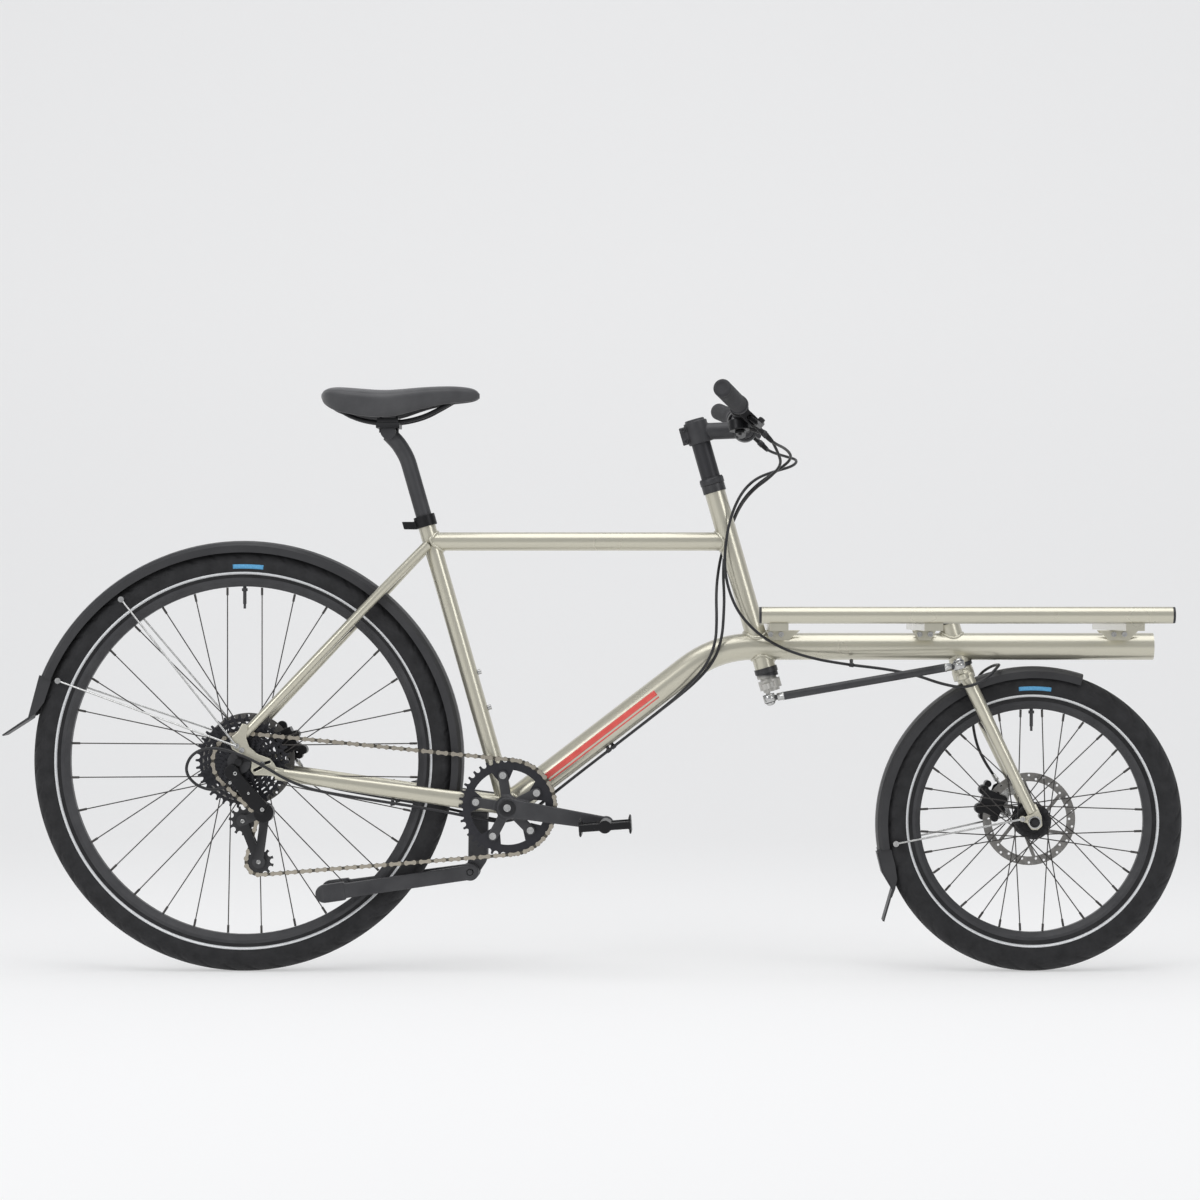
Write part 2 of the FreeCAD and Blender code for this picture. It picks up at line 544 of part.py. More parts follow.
class Side:
    """Directions at one hand: outward along the bar, forward-down to the lever, and its pivot's axis."""

    def __init__(self, sign):
        self.sign = sign
        self.origin = V(lever_seat.x, sign * lever_seat.y, lever_seat.z)
        run = GRIP_INNER - bar_path[2]
        self.out = V(run.x, sign * run.y, run.z).normalize()
        reach = V(1, 0, -0.95)
        self.reach = (reach - self.out * reach.dot(self.out)).normalize()
        self.pivot = self.out.cross(self.reach).normalize() * sign
        down = V(0.1, 0, -1)
        self.down = (down - self.out * down.dot(self.out)).normalize()

    def point(self, u, v, w=0.0):
        return self.origin + self.out * u + self.reach * v + self.pivot * w

    def slab(self, outline, low, high):
        """A plate in the lever's plane, from an outline of (outward, reach) points."""
        wire = Part.makePolygon([self.point(u, v, low) for u, v in outline + outline[:1]])
        return Part.Face(wire).extrude(self.pivot * (high - low))


lever_pin_r = 2.5
blade_outline = [(-6, 24), (8, 24), (26, 42), (48, 49), (88, 50), (100, 55), (103, 61), (98, 63), (86, 59),
                 (48, 58), (20, 53), (-2, 38), (-7, 32)]


def lever_mount(side):
    ring = rod(side.point(-9, 0), side.point(9, 0), 15.5)
    base = side.slab([(-12, 10), (11, 10), (6, 21), (-14, 21)], -8.5, 8.5)
    ears = [side.slab([(-14, 20.9), (7, 20.9), (6, 34), (-2, 38), (-12, 36)],
                      *span) for span in ((-8.5, -4.5), (4.5, 8.5))]
    barrel = [rod(side.point(-12, 14), side.point(-22, 38), 5.5),
              rod(side.point(-22, 38), side.point(-28, 54), 4.2)]
    pin = rod(side.point(0, LEVER_PIVOT_REACH, -9), side.point(0, LEVER_PIVOT_REACH, 9), lever_pin_r)
    return fuse([ring, base, pin] + ears + barrel).cut(rod(side.point(-40, 0), side.point(40, 0), BAR_R))


def lever_blade(side):
    blade = side.slab(blade_outline, -4, 4)
    hole = rod(side.point(0, LEVER_PIVOT_REACH, -9), side.point(0, LEVER_PIVOT_REACH, 9),
               lever_pin_r + 0.06)
    return blade.cut(hole)


right, left = Side(-1), Side(1)
export("right_brake_lever", lever_blade(right))
export("left_brake_lever", lever_blade(left))

shift_origin = right.point(-32, 0)
pod_top, pod_low = shift_origin + right.down * 13, shift_origin + right.down * 31
shift_ring = rod(shift_origin - right.out * 5, shift_origin + right.out * 5, 15)
pod_back = (V(-1, 0, 0) + right.down * right.down.x).normalize()
pod = rod(pod_top + pod_back * 4, pod_low + pod_back * 4, 18)
shift_outlet = rod(pod_top + right.down * 9, pod_top + right.down * 9 + V(27, 8, -8), 5)
shift_bore = rod(shift_origin - right.out * 20, shift_origin + right.out * 20, BAR_R)
shift_pin = rod(pod_low + pod_back * 4, pod_low + pod_back * 4 + right.down * 8, 3)
shifter = fuse([shift_ring, pod, shift_outlet, shift_pin]).cut(shift_bore)
shift_pivot = pod_low + pod_back * 4
thumb_base = shift_pivot + right.down * 0.6
thumb_out = right.out * -1
thumb_points = [(-9, -8), (-9, 8), (12, 7), (30, 4), (42, 7), (44, -3), (30, -8), (10, -9)]
thumb_wire = Part.makePolygon([thumb_base + thumb_out * u + pod_back * v for u,
                               v in thumb_points + thumb_points[:1]])
shift_lever = Part.Face(thumb_wire).extrude(right.down * 5)
shift_lever = shift_lever.cut(rod(shift_pivot - right.down, shift_pivot + right.down * 9, 3.06))
controls = group([lever_mount(right), lever_mount(left), shifter]).cut(outer_half).cut(mirrored(outer_half))
export("bar_controls", controls)
export("shift_lever", shift_lever)

# ---- Steering linkage ----
ARM_BACK, ARM_SIDE = 9.0, 90.0
STUD_R, EYE_R, EYE_H = 4.0, 10.0, 14.0
REAR_BALL_Z, FRONT_BALL_Z = 472.0, 528.0
arm_offset = STEER_FORWARD * -ARM_BACK - Y * ARM_SIDE
rear_ball, front_ball = steer_at(REAR_BALL_Z) + arm_offset, fork_at(FRONT_BALL_Z) + arm_offset
rear_arm_root, front_arm_root = steer_at(REAR_BALL_Z + 20), fork_at(FRONT_BALL_Z - 20)


def arm(root, end, stud_low, stud_high):
    """A steering arm: a clamp ring on the column, a bar out to the side and a ball stud."""
    ring = rod(root - STEER_UP * 8, root + STEER_UP * 8, 19)
    side_bar = slant_block(root, end, STEER_FORWARD, STEER_UP, 17, 9)
    return fuse([ring, side_bar, rod(end - STEER_UP * 4.5, end + STEER_UP * 4.5, 9.5),
                 rod(stud_low, stud_high, STUD_R)])


rear_arm_end = rear_arm_root + arm_offset
front_arm_end = front_arm_root + arm_offset
steering_arm = arm(rear_arm_root, rear_arm_end, rear_ball - STEER_UP * 9, rear_arm_end).cut(steerer_core)
fork_arm = arm(front_arm_root, front_arm_end, front_arm_end, front_ball + STEER_UP * 9)


def eye(centre, bore):
    return pipe(centre - STEER_UP * (EYE_H / 2), centre + STEER_UP * (EYE_H / 2), EYE_R, bore)


rod_dir = (front_ball - rear_ball).normalize()
eye_cores = [rod(p - STEER_UP * 20, p + STEER_UP * 20, EYE_R) for p in (rear_ball, front_ball)]
shank_rear = rod(rear_ball, rear_ball + rod_dir * 30, 4.5)
shank_front = rod(front_ball - rod_dir * 30, front_ball, 4.5)
rod_tube = rod(rear_ball + rod_dir * 22, front_ball - rod_dir * 22, 7.0)
tie_body = fuse([shank_rear, shank_front, rod_tube]).cut(eye_cores[0]).cut(eye_cores[1])
tie_rod = fuse([tie_body, eye(rear_ball, STUD_R + 0.06), eye(front_ball, STUD_R + 0.6)])
export("steering_column", group([steerer_tube, riser, lower_race, steering_arm]))
export("tie_rod", tie_rod)

# ---- Fork ----
CROWN = V(636, 0, 507.0)
FORK_LEG_Y0, FORK_LEG_Y1 = 50.0, 58.5
leg_top, leg_low = at(CROWN, -FORK_LEG_Y0), V(748, -FORK_LEG_Y1, 274)
fork_race = rod(fork_at(FORK_TUBE_LOW_Z - FORK_CUP_H - run_gap), fork_at(512), 18)
crown_bar = rod(at(CROWN, -FORK_LEG_Y0 - 2), at(CROWN, FORK_LEG_Y0 + 2), 10.4)
leg = taper(leg_top, leg_low, 12.0, 9.0)
tip = rounded_plate([(742, 288), (754, 290), (764, 268), (765, 252), (757, 245), (747, 245),
                     (740, 254), (740, 275)],
                    3, -61.5, -55.5).cut(rod(at(FRONT_AXLE, -70), at(FRONT_AXLE, -50), 6.0))
eyelet = rod(V(731, -66, 264), V(731, -55.5, 264), 5.5)
eyelet_arm = plate([(729, 259), (742, 256), (742, 268), (731, 269)], -61, -56)
side = fuse([leg, tip, eyelet_arm, eyelet])
fork_column = rod(fork_at(CROWN.z), fork_at(FORK_TUBE_TOP_Z + 12), STEERER_R)
top_cap = rod(fork_at(FORK_TUBE_TOP_Z + 8 + run_gap), fork_at(FORK_TUBE_TOP_Z + 14), 17.5)
fork = fuse([fork_column, fork_race, crown_bar, side, mirrored(side), top_cap, fork_arm])
fork = fork.cut(rod(at(FRONT_AXLE, -70), at(FRONT_AXLE, 70), 6.0))
column_bore = rod(fork_at(CROWN.z + 14), fork_at(FORK_TUBE_TOP_Z + 16), STEERER_R - STEERER_WALL)
top_plug = rod(fork_at(FORK_TUBE_TOP_Z + 4), fork_at(FORK_TUBE_TOP_Z + 14), STEERER_R - STEERER_WALL)
export("fork", group([fork.cut(column_bore), top_plug]))


def axle(centre, half, nut_half):
    """An axle with a washer and a nut outside each dropout."""
    ends = [rod(at(centre, s * half), at(centre, s * nut_half), 6.9) for s in (-1, 1)]
    return fuse([rod(at(centre, -nut_half - 3), at(centre, nut_half + 3), 6.0)] + ends)


export("front_axle", axle(FRONT_AXLE, 61.5, 69))
rear_axle = axle(REAR_AXLE, insert_out, 84)
export("rear_axle", group([rear_axle, both_sides(hanger_insert)]))

# ---- Wheels ----
TREAD_WALL = 5.0


def tyre(centre, radius, width, seat_r):
    """A hollow tyre casing that stands on the rim between its flanges."""
    half, mid = width / 2, radius - width / 2
    foot = RIM_W / 2 - 1.5
    steps = range(-125, 126, 25)
    outer = [(mid + half * math.cos(math.radians(a)), half * math.sin(math.radians(a))) for a in steps]
    thin = half - TREAD_WALL
    inner = [(mid + thin * math.cos(math.radians(a)), thin * math.sin(math.radians(a))) for a in steps]
    left_bead = [(seat_r, -foot), (seat_r + 5.5, -foot)]
    right_bead = [(seat_r + 5.5, foot), (seat_r, foot), (seat_r, foot - 4)]
    return revolve_y(left_bead + outer + right_bead + inner[::-1] + [(seat_r, 4 - foot)], centre)


def rim(centre, inner_r, seat_r):
    """A double-walled rim with a flange on each side of the tyre's seat."""
    half, well = RIM_W / 2, RIM_W / 2 - 1.5
    profile = [(inner_r, -7), (seat_r - 3, -half), (seat_r + 5, -half), (seat_r + 5, -well),
               (seat_r, -well),
               (seat_r, well), (seat_r + 5, well), (seat_r + 5, half), (seat_r - 3, half), (inner_r, 7)]
    core = [(inner_r + 2, -5), (seat_r - 2.5, -half + 3), (seat_r - 2.5, half - 3), (inner_r + 2, 5)]
    return revolve_y(profile, centre).cut(revolve_y(core, centre))


def valve(centre, inner_r):
    top = polar(centre, inner_r, 90)
    return fuse([rod(top, top - Z * 30, 3.0), rod(top - Z * 8, top - Z * 3, 5.0),
                 rod(top - Z * 30, top - Z * 38, 2.2)])


def hub(centre, flange_r, flange_y, shell_half, shell_radius):
    """A hub shell with two spoke flanges on a round bore."""
    f0, f1 = flange_y
    profile = [(6.06, -shell_half), (9.5, -shell_half), (9.5, f0 - 4), (shell_radius + 3, f0 - 4),
               (shell_radius + 6, f0 - 1.5), (flange_r, f0 - 1.5),
               (flange_r, f0 + 1.5), (shell_radius + 3, f0 + 1.5),
               (shell_radius, f0 + 6), (shell_radius, f1 - 6), (shell_radius + 3, f1 - 1.5),
               (flange_r, f1 - 1.5),
               (flange_r, f1 + 1.5), (shell_radius + 6, f1 + 1.5), (shell_radius + 3, f1 + 4),
               (9.5, f1 + 4),
               (9.5, shell_half), (6.06, shell_half)]
    return revolve_y(profile, centre)


def spokes(centre, flange_hole_r, flange_y, rim_inner):
    """Crossed spokes, alternately on the two faces of each flange, each with its nipple at the rim."""
    made = []
    per_side = SPOKES // 2
    step = 360.0 / per_side
    for side_index, y in enumerate(flange_y):
        sign = -1 if side_index == 0 else 1
        for k in range(per_side):
            lead = 1 if k % 2 == 0 else -1
            rim_angle = k * step + side_index * step / 2 + 90 + step / 4
            hub_angle = rim_angle + lead * 3 * step
            hub_y = y + sign * (4.9 if k % 2 == 0 else -2.55)
            a = polar(centre, flange_hole_r, hub_angle, hub_y)
            b = polar(centre, rim_inner - 0.6, rim_angle, sign * 4.0)
            unit = (b - a).normalize()
            made.append(fuse([rod(a, b, SPOKE_R), rod(b - unit * 13, b, 2.0)]))
    return group(made)


def rotor(centre, y):
    """A brake disc: a drilled friction ring, a bolted centre and six leaning arms."""
    thick = 1.8
    low, high = at(centre, y - thick / 2), at(centre, y + thick / 2)
    ring = rod(low, high, ROTOR_R).cut(rod(low, high, ROTOR_R - 15))
    middle = rod(low, high, 24)
    lean = 38.0
    arms = []
    for k in range(6):
        a, b = polar(centre, 20, k * 60, y), polar(centre, ROTOR_R - 12, k * 60 + lean, y)
        across = (b - a).cross(Y).normalize()
        arms.append(slant_block(a, b, across, Y, 6, thick))
    disc = fuse([ring, middle] + arms)
    holes = [rod(polar(centre, ROTOR_R - (4.5 if k % 2 else 10.5), k * 10, y - 2),
                 polar(centre, ROTOR_R - (4.5 if k % 2 else 10.5), k * 10, y + 2), 2.1) for k in range(36)]
    return disc.cut(Part.makeCompound(holes)).cut(rod(at(centre, y - 3), at(centre, y + 3), 17.5))


def rotor_bolts(centre, y):
    return [bolt(polar(centre, 21, 30 + k * 60, y), Y, 3.2, 2.5) for k in range(6)]


front_flange, rear_flange = (-31.0, 29.0), (-20.0, 30.0)
FRONT_ROTOR_Y, REAR_ROTOR_Y = 42.0, 53.0


def carrier(centre, start, end):
    """The hub's disc boss."""
    return pipe(at(centre, start), at(centre, end), 17.5, 9.5)


for name, centre, tyre_r, tyre_w, bead_r, rim_r, flanges, half, flange_r, shell, disc_y in (
        ("front", FRONT_AXLE, FRONT_TYRE_R, FRONT_TYRE_W, FRONT_BEAD_R, FRONT_RIM_R, front_flange,
         55.0, 31.0, 15.0,
         FRONT_ROTOR_Y),
        ("rear", REAR_AXLE, REAR_TYRE_R, REAR_TYRE_W, REAR_BEAD_R, REAR_RIM_R, rear_flange, 71.0, 31.0,
         17.0,
         REAR_ROTOR_Y)):
    boss = carrier(centre, flanges[1] + 3.9, disc_y + 2.5)
    export(f"{name}_tyre", tyre(centre, tyre_r, tyre_w, bead_r))
    export(f"{name}_rim", group([rim(centre, rim_r, bead_r), valve(centre, rim_r)]))
    export(f"{name}_hub", fuse([hub(centre, flange_r, flanges, half, shell), boss]))
    export(f"{name}_spokes", spokes(centre, flange_r - 3.5, flanges, rim_r))
    export(f"{name}_rotor", group([rotor(centre, disc_y)]
                                  + [shifted(b, Y * 0.9) for b in rotor_bolts(centre, disc_y)]))


# ---- Toothed wheels ----
def pitch_radius(teeth):
    return CHAIN_PITCH / (2 * math.sin(math.pi / teeth))


def sprocket(centre, teeth, thickness, bore, first_angle=0.0, windows=0, tip=3.2):
    """A chain wheel centred on centre, with teeth that stand tip proud of its pitch circle."""
    r = pitch_radius(teeth)
    low = centre - Y * (thickness / 2)
    high = centre + Y * (thickness / 2)
    disc = rod(low, high, r + tip)
    gaps = []
    for k in range(teeth):
        a = first_angle + 360.0 * k / teeth
        p = polar(centre, r, a, low.y - 1)
        gap = rod(p, p + Y * (thickness + 2), 4.2)
        mouth = plate([(r, -4.1), (r + 6, -5.8), (r + 6, 5.8), (r, 4.1)], low.y - 1, high.y + 1)
        mouth.translate(V(centre.x, 0, centre.z))
        gaps.append(gap)
        gaps.append(turned(mouth, centre, V(0, -1, 0), a))
    wheel = disc.cut(Part.makeCompound(gaps))
    if bore:
        wheel = wheel.cut(rod(low - Y, high + Y, bore))
    if windows:
        inner, outer = bore + 6, r - 9
        for k in range(windows):
            start = 360.0 * k / windows
            wheel = wheel.cut(arc_sector(centre, inner, outer, start, start + 250.0 / windows,
                                         low.y - 1, high.y + 1))
    return max(wheel.Solids, key=lambda s: s.Volume)


# ---- Chain line ----
# The wheels in the order the chain visits them: centre, teeth, and 1 for clockwise from the drive side.
COGS = (11, 13, 15, 17, 19, 21, 24, 27, 30, 34, 38)
COG_STEP, COG_THICK = 3.9, 1.8
JOCKEY_THICK, RING_THICK = 1.8, 2.0


def chain_wheels(cage_turn):
    lower, upper = [CAGE_PIVOT + turned_vector(p - CAGE_PIVOT, cage_turn)
                    for p in (JOCKEY_LOWER, JOCKEY_UPPER)]
    return [(BB, CHAINRING_TEETH, 1), (lower, JOCKEY_TEETH, 1), (upper, JOCKEY_TEETH, -1),
            (REAR_AXLE, COG_TEETH, 1)]


def turned_vector(v, degrees):
    """v turned in the side view, from forward towards up."""
    a = math.radians(degrees)
    return V(v.x * math.cos(a) - v.z * math.sin(a), v.y, v.x * math.sin(a) + v.z * math.cos(a))


def chain_stretches(wheels):
    """The chain line as arcs and straight runs: each is (kind, start, end, wheel, length in pitches)."""
    headings = []
    for (c1, n1, s1), (c2, n2, s2) in zip(wheels, wheels[1:] + wheels[:1]):
        d = c2 - c1
        lean = math.asin((s1 * pitch_radius(n1) - s2 * pitch_radius(n2)) / d.Length)
        headings.append(math.degrees(math.atan2(d.z, d.x) - lean))
    stretches = []
    for i, (centre, teeth, sense) in enumerate(wheels):
        start, end = headings[i - 1] + 90 * sense, headings[i] + 90 * sense
        sweep = (start - end) % 360 if sense == 1 else (end - start) % 360
        stretches.append(("arc", start, -sense * sweep, i, sweep / 360.0 * teeth))
        nxt_centre, nxt_teeth, nxt_sense = wheels[(i + 1) % len(wheels)]
        p = polar(centre, pitch_radius(teeth), headings[i] + 90 * sense)
        q = polar(nxt_centre, pitch_radius(nxt_teeth), headings[i] + 90 * nxt_sense)
        stretches.append(("run", p, q, i, (q - p).Length / CHAIN_PITCH))
    return stretches


def chain_length(cage_turn):
    return sum(s[4] for s in chain_stretches(chain_wheels(cage_turn)))


def settled_cage():
    """Turns the sprung cage until the chain holds a whole even number of pitches."""
    links = 2 * round(chain_length(0) / 2)
    low, high = -25.0, 25.0
    for _ in range(40):
        middle = (low + high) / 2
        if (chain_length(middle) - links) * (chain_length(high) - links) > 0:
            high = middle
        else:
            low = middle
    return links, (low + high) / 2


CHAIN_LINKS, cage_settle = settled_cage()
wheels_settled = chain_wheels(cage_settle)
stretches_settled = chain_stretches(wheels_settled)
jockey_lower, jockey_upper = wheels_settled[1][0], wheels_settled[2][0]


def chain_pin(number):
    """The place of one chain pin, and the wheel it lies on or None."""
    left_over = float(number)
    for kind, start, end, index, pitches in stretches_settled:
        if left_over <= pitches:
            share = left_over / pitches
            if kind == "run":
                return start + (end - start) * share, None
            centre, teeth, _ = wheels_settled[index]
            return polar(centre, pitch_radius(teeth), start + end * share), index
        left_over -= pitches
    return chain_pin(0)


pins = [chain_pin(k) for k in range(CHAIN_LINKS)]


def gap_angle(index):
    """The angle of a tooth gap that holds a chain pin on the wheel."""
    centre = wheels_settled[index][0]
    place = next(p for p, wheel in pins if wheel == index)
    return math.degrees(math.atan2(place.z - centre.z, place.x - centre.x))


def link_plate(p, q, r, low, high):
    """A chain side plate round two pins."""
    along = (q - p).normalize()
    side = along.cross(Y)
    a, b, c, d = [at(v, low) for v in (p + side * r, q + side * r, q - side * r, p - side * r)]
    middle, waist = (p + q) / 2, r * 0.62
    edges = [Part.Arc(a, at(middle + side * waist, low), b).toShape(),
             Part.Arc(b, at(q + along * r, low), c).toShape(),
             Part.Arc(c, at(middle - side * waist, low), d).toShape(),
             Part.Arc(d, at(p - along * r, low), a).toShape()]
    return Part.Face(Part.Wire(edges)).extrude(V(0, high - low, 0))


INNER_PLATE, OUTER_PLATE, ROLLER_R, LINK_R = (1.3, 1.9), (2.0, 2.6), 3.5, 4.1
chain = []
for k in range(CHAIN_LINKS):
    (p, _), (q, _) = pins[k], pins[(k + 1) % CHAIN_LINKS]
    near, far = INNER_PLATE if k % 2 else OUTER_PLATE
    chain.append(link_plate(p, q, LINK_R, CHAIN_Y - far, CHAIN_Y - near))
    chain.append(link_plate(p, q, LINK_R, CHAIN_Y + near, CHAIN_Y + far))
    chain.append(rod(at(p, CHAIN_Y - INNER_PLATE[0]), at(p, CHAIN_Y + INNER_PLATE[0]), ROLLER_R))
export("chain", group(chain))
print("chain links", CHAIN_LINKS, "cage turn", round(cage_settle, 2), "jockeys", jockey_upper, jockey_lower)

# ---- Cassette, chainring and jockey wheels ----
chain_cog = COGS.index(COG_TEETH)
cog_parts = []
for index, teeth in enumerate(COGS):
    y = CHAIN_Y - (chain_cog - index) * COG_STEP
    windows = 5 if teeth >= 24 else 0
    first = gap_angle(3) if teeth == COG_TEETH else 7.0 * index
    cog_parts.append(sprocket(at(REAR_AXLE, y), teeth, COG_THICK, 14.0, first, windows))
cassette_low = CHAIN_Y - chain_cog * COG_STEP - COG_THICK / 2
cassette_high = CHAIN_Y + (len(COGS) - 1 - chain_cog) * COG_STEP + COG_THICK / 2
freehub = pipe(at(REAR_AXLE, cassette_low), at(REAR_AXLE, cassette_high + 2), 14.0, 9.58)
export("cassette", fuse([freehub] + cog_parts))

BOLT_CIRCLE_R, FIRST_ARM = 55.0, 26.6
bolt_angles = [FIRST_ARM + 72 * k for k in range(5)]
ring_blank = sprocket(at(BB, CHAIN_Y), CHAINRING_TEETH, RING_THICK, 64.0, gap_angle(0))
tabs = [rod(polar(BB, BOLT_CIRCLE_R, a, CHAIN_Y - 1), polar(BB, BOLT_CIRCLE_R, a, CHAIN_Y + 1), 11)
        for a in bolt_angles]
flare = plate([(46, -9), (67, -22), (67, 22), (46, 9)], CHAIN_Y - RING_THICK / 2, CHAIN_Y + RING_THICK / 2)
flare.translate(V(BB.x, 0, BB.z))
flares = [turned(flare, BB, V(0, -1, 0), a) for a in bolt_angles]
chainring = fuse([ring_blank] + tabs + flares)
for a in bolt_angles:
    chainring = chainring.cut(rod(polar(BB, BOLT_CIRCLE_R, a, CHAIN_Y - 3),
                                  polar(BB, BOLT_CIRCLE_R, a, CHAIN_Y + 3), 4.1))
export("chainring", chainring)


def jockey(centre, gap):
    wheel = sprocket(at(centre, CHAIN_Y), JOCKEY_TEETH, JOCKEY_THICK, 0.0, gap, tip=2.4)
    boss = rod(at(centre, CHAIN_Y - 4), at(centre, CHAIN_Y + 4), 8)
    return fuse([wheel, boss]).cut(rod(at(centre, CHAIN_Y - 5), at(centre, CHAIN_Y + 5), 2.56))


export("lower_jockey_wheel", jockey(jockey_lower, gap_angle(1)))
export("upper_jockey_wheel", jockey(jockey_upper, gap_angle(2)))

# ---- Cranks and pedals ----
SPINDLE_R, ARM_Y0, ARM_Y1 = 12.0, 58.0, 71.0
PEDAL_BORE_GAP = 0.06
PEDAL_AXLE_R, PEDAL_Y0, PEDAL_Y1 = 4.5, 79.0, 160.0


def crank_arm(angle, y0, y1):
    """A tapering crank arm with round ends, on the side from y0 to y1."""
    end = polar(BB, CRANK, angle)
    along = (end - BB).normalize()
    side = V(-along.z, 0, along.x)
    outline = [BB + side * 16, end + side * 11.5, end - side * 11.5, BB - side * 16]
    bar = plate([(p.x, p.z) for p in outline], y0, y1)
    return fuse([bar, rod(at(BB, y0), at(BB, y1), 18), rod(at(end, y0), at(end, y1), 13)])


def spider_arm(angle):
    root, end = polar(BB, 10, angle, -51.5), polar(BB, BOLT_CIRCLE_R, angle, -51.5)
    across = (end - root).cross(Y).normalize()
    return fuse([slant_block(root, end, across, Y, 17, 7),
                 rod(polar(BB, BOLT_CIRCLE_R, angle, -55),
                     polar(BB, BOLT_CIRCLE_R, angle, CHAIN_Y - 1), 8.5)])


right_end, left_end = polar(BB, CRANK, CRANK_ANGLE), polar(BB, CRANK, CRANK_ANGLE + 180)
pedal_axles = [rod(at(right_end, -PEDAL_Y1 + 4), at(right_end, -ARM_Y1), PEDAL_AXLE_R),
               rod(at(left_end, ARM_Y1), at(left_end, PEDAL_Y1 - 4), PEDAL_AXLE_R)]
hub_block = rod(at(BB, -ARM_Y0), at(BB, -48), 21)
right_crank = fuse([crank_arm(CRANK_ANGLE, -ARM_Y1, -ARM_Y0),
                    hub_block] + [spider_arm(a) for a in bolt_angles])
right_crank = right_crank.cut(rod(at(BB, -80), at(BB, -40), SPINDLE_R))
left_crank = crank_arm(CRANK_ANGLE + 180, ARM_Y0, ARM_Y1).cut(rod(at(BB, 40), at(BB, 80), SPINDLE_R))
spindle = rod(at(BB, -ARM_Y1 + 3), at(BB, ARM_Y1 - 3), SPINDLE_R)
crank_bolts = [bolt(at(BB, s * (ARM_Y1 - 3)), Y * s, 9, 4) for s in (-1, 1)]
ring_bolts = [rod(polar(BB, BOLT_CIRCLE_R, a, -57), polar(BB, BOLT_CIRCLE_R, a, -55), 6) for a in bolt_angles]
ring_nuts = [rod(polar(BB, BOLT_CIRCLE_R, a, CHAIN_Y + 1), polar(BB, BOLT_CIRCLE_R, a, CHAIN_Y + 2.6), 6)
             for a in bolt_angles]
export("crank_arms", group([right_crank, left_crank]))
export("crank_hardware", group([spindle] + pedal_axles + ring_bolts + ring_nuts + crank_bolts))


def pedal(centre, sign, tilt):
    """A platform pedal: a bearing tube, two cross rails and a toothed cage frame round it."""
    y0, y1 = sign * PEDAL_Y0, sign * PEDAL_Y1
    low, high = min(y0, y1), max(y0, y1)
    length, height = 44.0, 12.0
    body = rod(at(centre, low), at(centre, high), 11)
    frame = []
    for dx in (-1, 1):
        x0, x1 = sorted((centre.x + dx * (length - 4), centre.x + dx * length))
        frame.append(block(x0, x1, low + 3, high - 3, centre.z - height, centre.z + height))
    for y in (low, high - 5):
        frame.append(block(centre.x - length, centre.x + length, y, y + 5, centre.z - 6, centre.z + 6))
    middle = (low + high) / 2
    frame.append(block(centre.x - length, centre.x + length, middle - 4, middle + 4, centre.z - 5,
                       centre.z + 5))
    teeth = [rod(V(centre.x + dx * (length - 2), low + 8 + k * 13, centre.z + dz * height),
                 V(centre.x + dx * (length - 2), low + 8 + k * 13, centre.z + dz * (height + 2.5)), 1.6)
             for dx in (-1, 1) for dz in (-1, 1) for k in range(6)]
    shape = fuse([body] + frame + teeth)
    shape = shape.cut(rod(at(centre, low - 1), at(centre, high - 3), PEDAL_AXLE_R + PEDAL_BORE_GAP)
                      if sign > 0 else rod(at(centre, low + 3), at(centre, high + 1),
                                           PEDAL_AXLE_R + PEDAL_BORE_GAP))
    return turned(shape, centre, V(0, -1, 0), tilt)


export("right_pedal", pedal(right_end, -1, 4.0))
export("left_pedal", pedal(left_end, 1, 4.0))

# ---- Rear derailleur ----
CAGE_OUT, CAGE_IN = (-55.0, -52.6), (-38.6, -36.6)
knuckle = rod(at(HANGER, -94), at(HANGER, -insert_out), 12.5)
pivot_knuckle = rod(at(CAGE_PIVOT, -84), at(CAGE_PIVOT, -57), 17)
outer_link = rounded_plate([(-614, 350), (-601, 350), (-548, 290), (-556, 272), (-578, 284),
                            (-614, 334)], 4, -92, -84)
inner_link = rounded_plate([(-604, 338), (-594, 344), (-552, 288), (-560, 276), (-580, 288)], 3, -84, -79.5)
cable_arm = rod(V(-604, -88, 334), V(-616, -88, 322), 5)
derailleur_body = fuse([knuckle, pivot_knuckle, outer_link, inner_link, cable_arm])
cage_pin_r = 5.0
derailleur_body = fuse([derailleur_body, rod(at(CAGE_PIVOT, -57), at(CAGE_PIVOT, -51), cage_pin_r)])


def cage_plate(span, with_pivot):
    parts = [rod(at(p, span[0]), at(p, span[1]), 11) for p in (jockey_upper, jockey_lower)]
    across = (jockey_upper - jockey_lower).normalize().cross(Y)
    parts.append(slant_block(at(jockey_lower, sum(span) / 2), at(jockey_upper, sum(span) / 2), across,
                             Y, 15,
                             span[1] - span[0]))
    if with_pivot:
        parts.append(rod(at(CAGE_PIVOT, span[0]), at(CAGE_PIVOT, span[1]), 13))
        for p in (jockey_upper, jockey_lower):
            lean = (CAGE_PIVOT - p).normalize().cross(Y)
            parts.append(slant_block(at(p, sum(span) / 2), at(CAGE_PIVOT, sum(span) / 2), lean, Y, 15,
                                     span[1] - span[0]))
    return fuse(parts)


jockey_pins = [rod(at(p, CAGE_OUT[0]), at(p, CAGE_IN[1]), 2.5) for p in (jockey_upper, jockey_lower)]
derailleur_cage = fuse([cage_plate(CAGE_OUT, True), cage_plate(CAGE_IN, False)] + jockey_pins)
derailleur_cage = derailleur_cage.cut(rod(at(CAGE_PIVOT, -60), at(CAGE_PIVOT, -50), cage_pin_r + 0.06))
export("rear_derailleur", derailleur_body)
export("derailleur_cage", derailleur_cage)

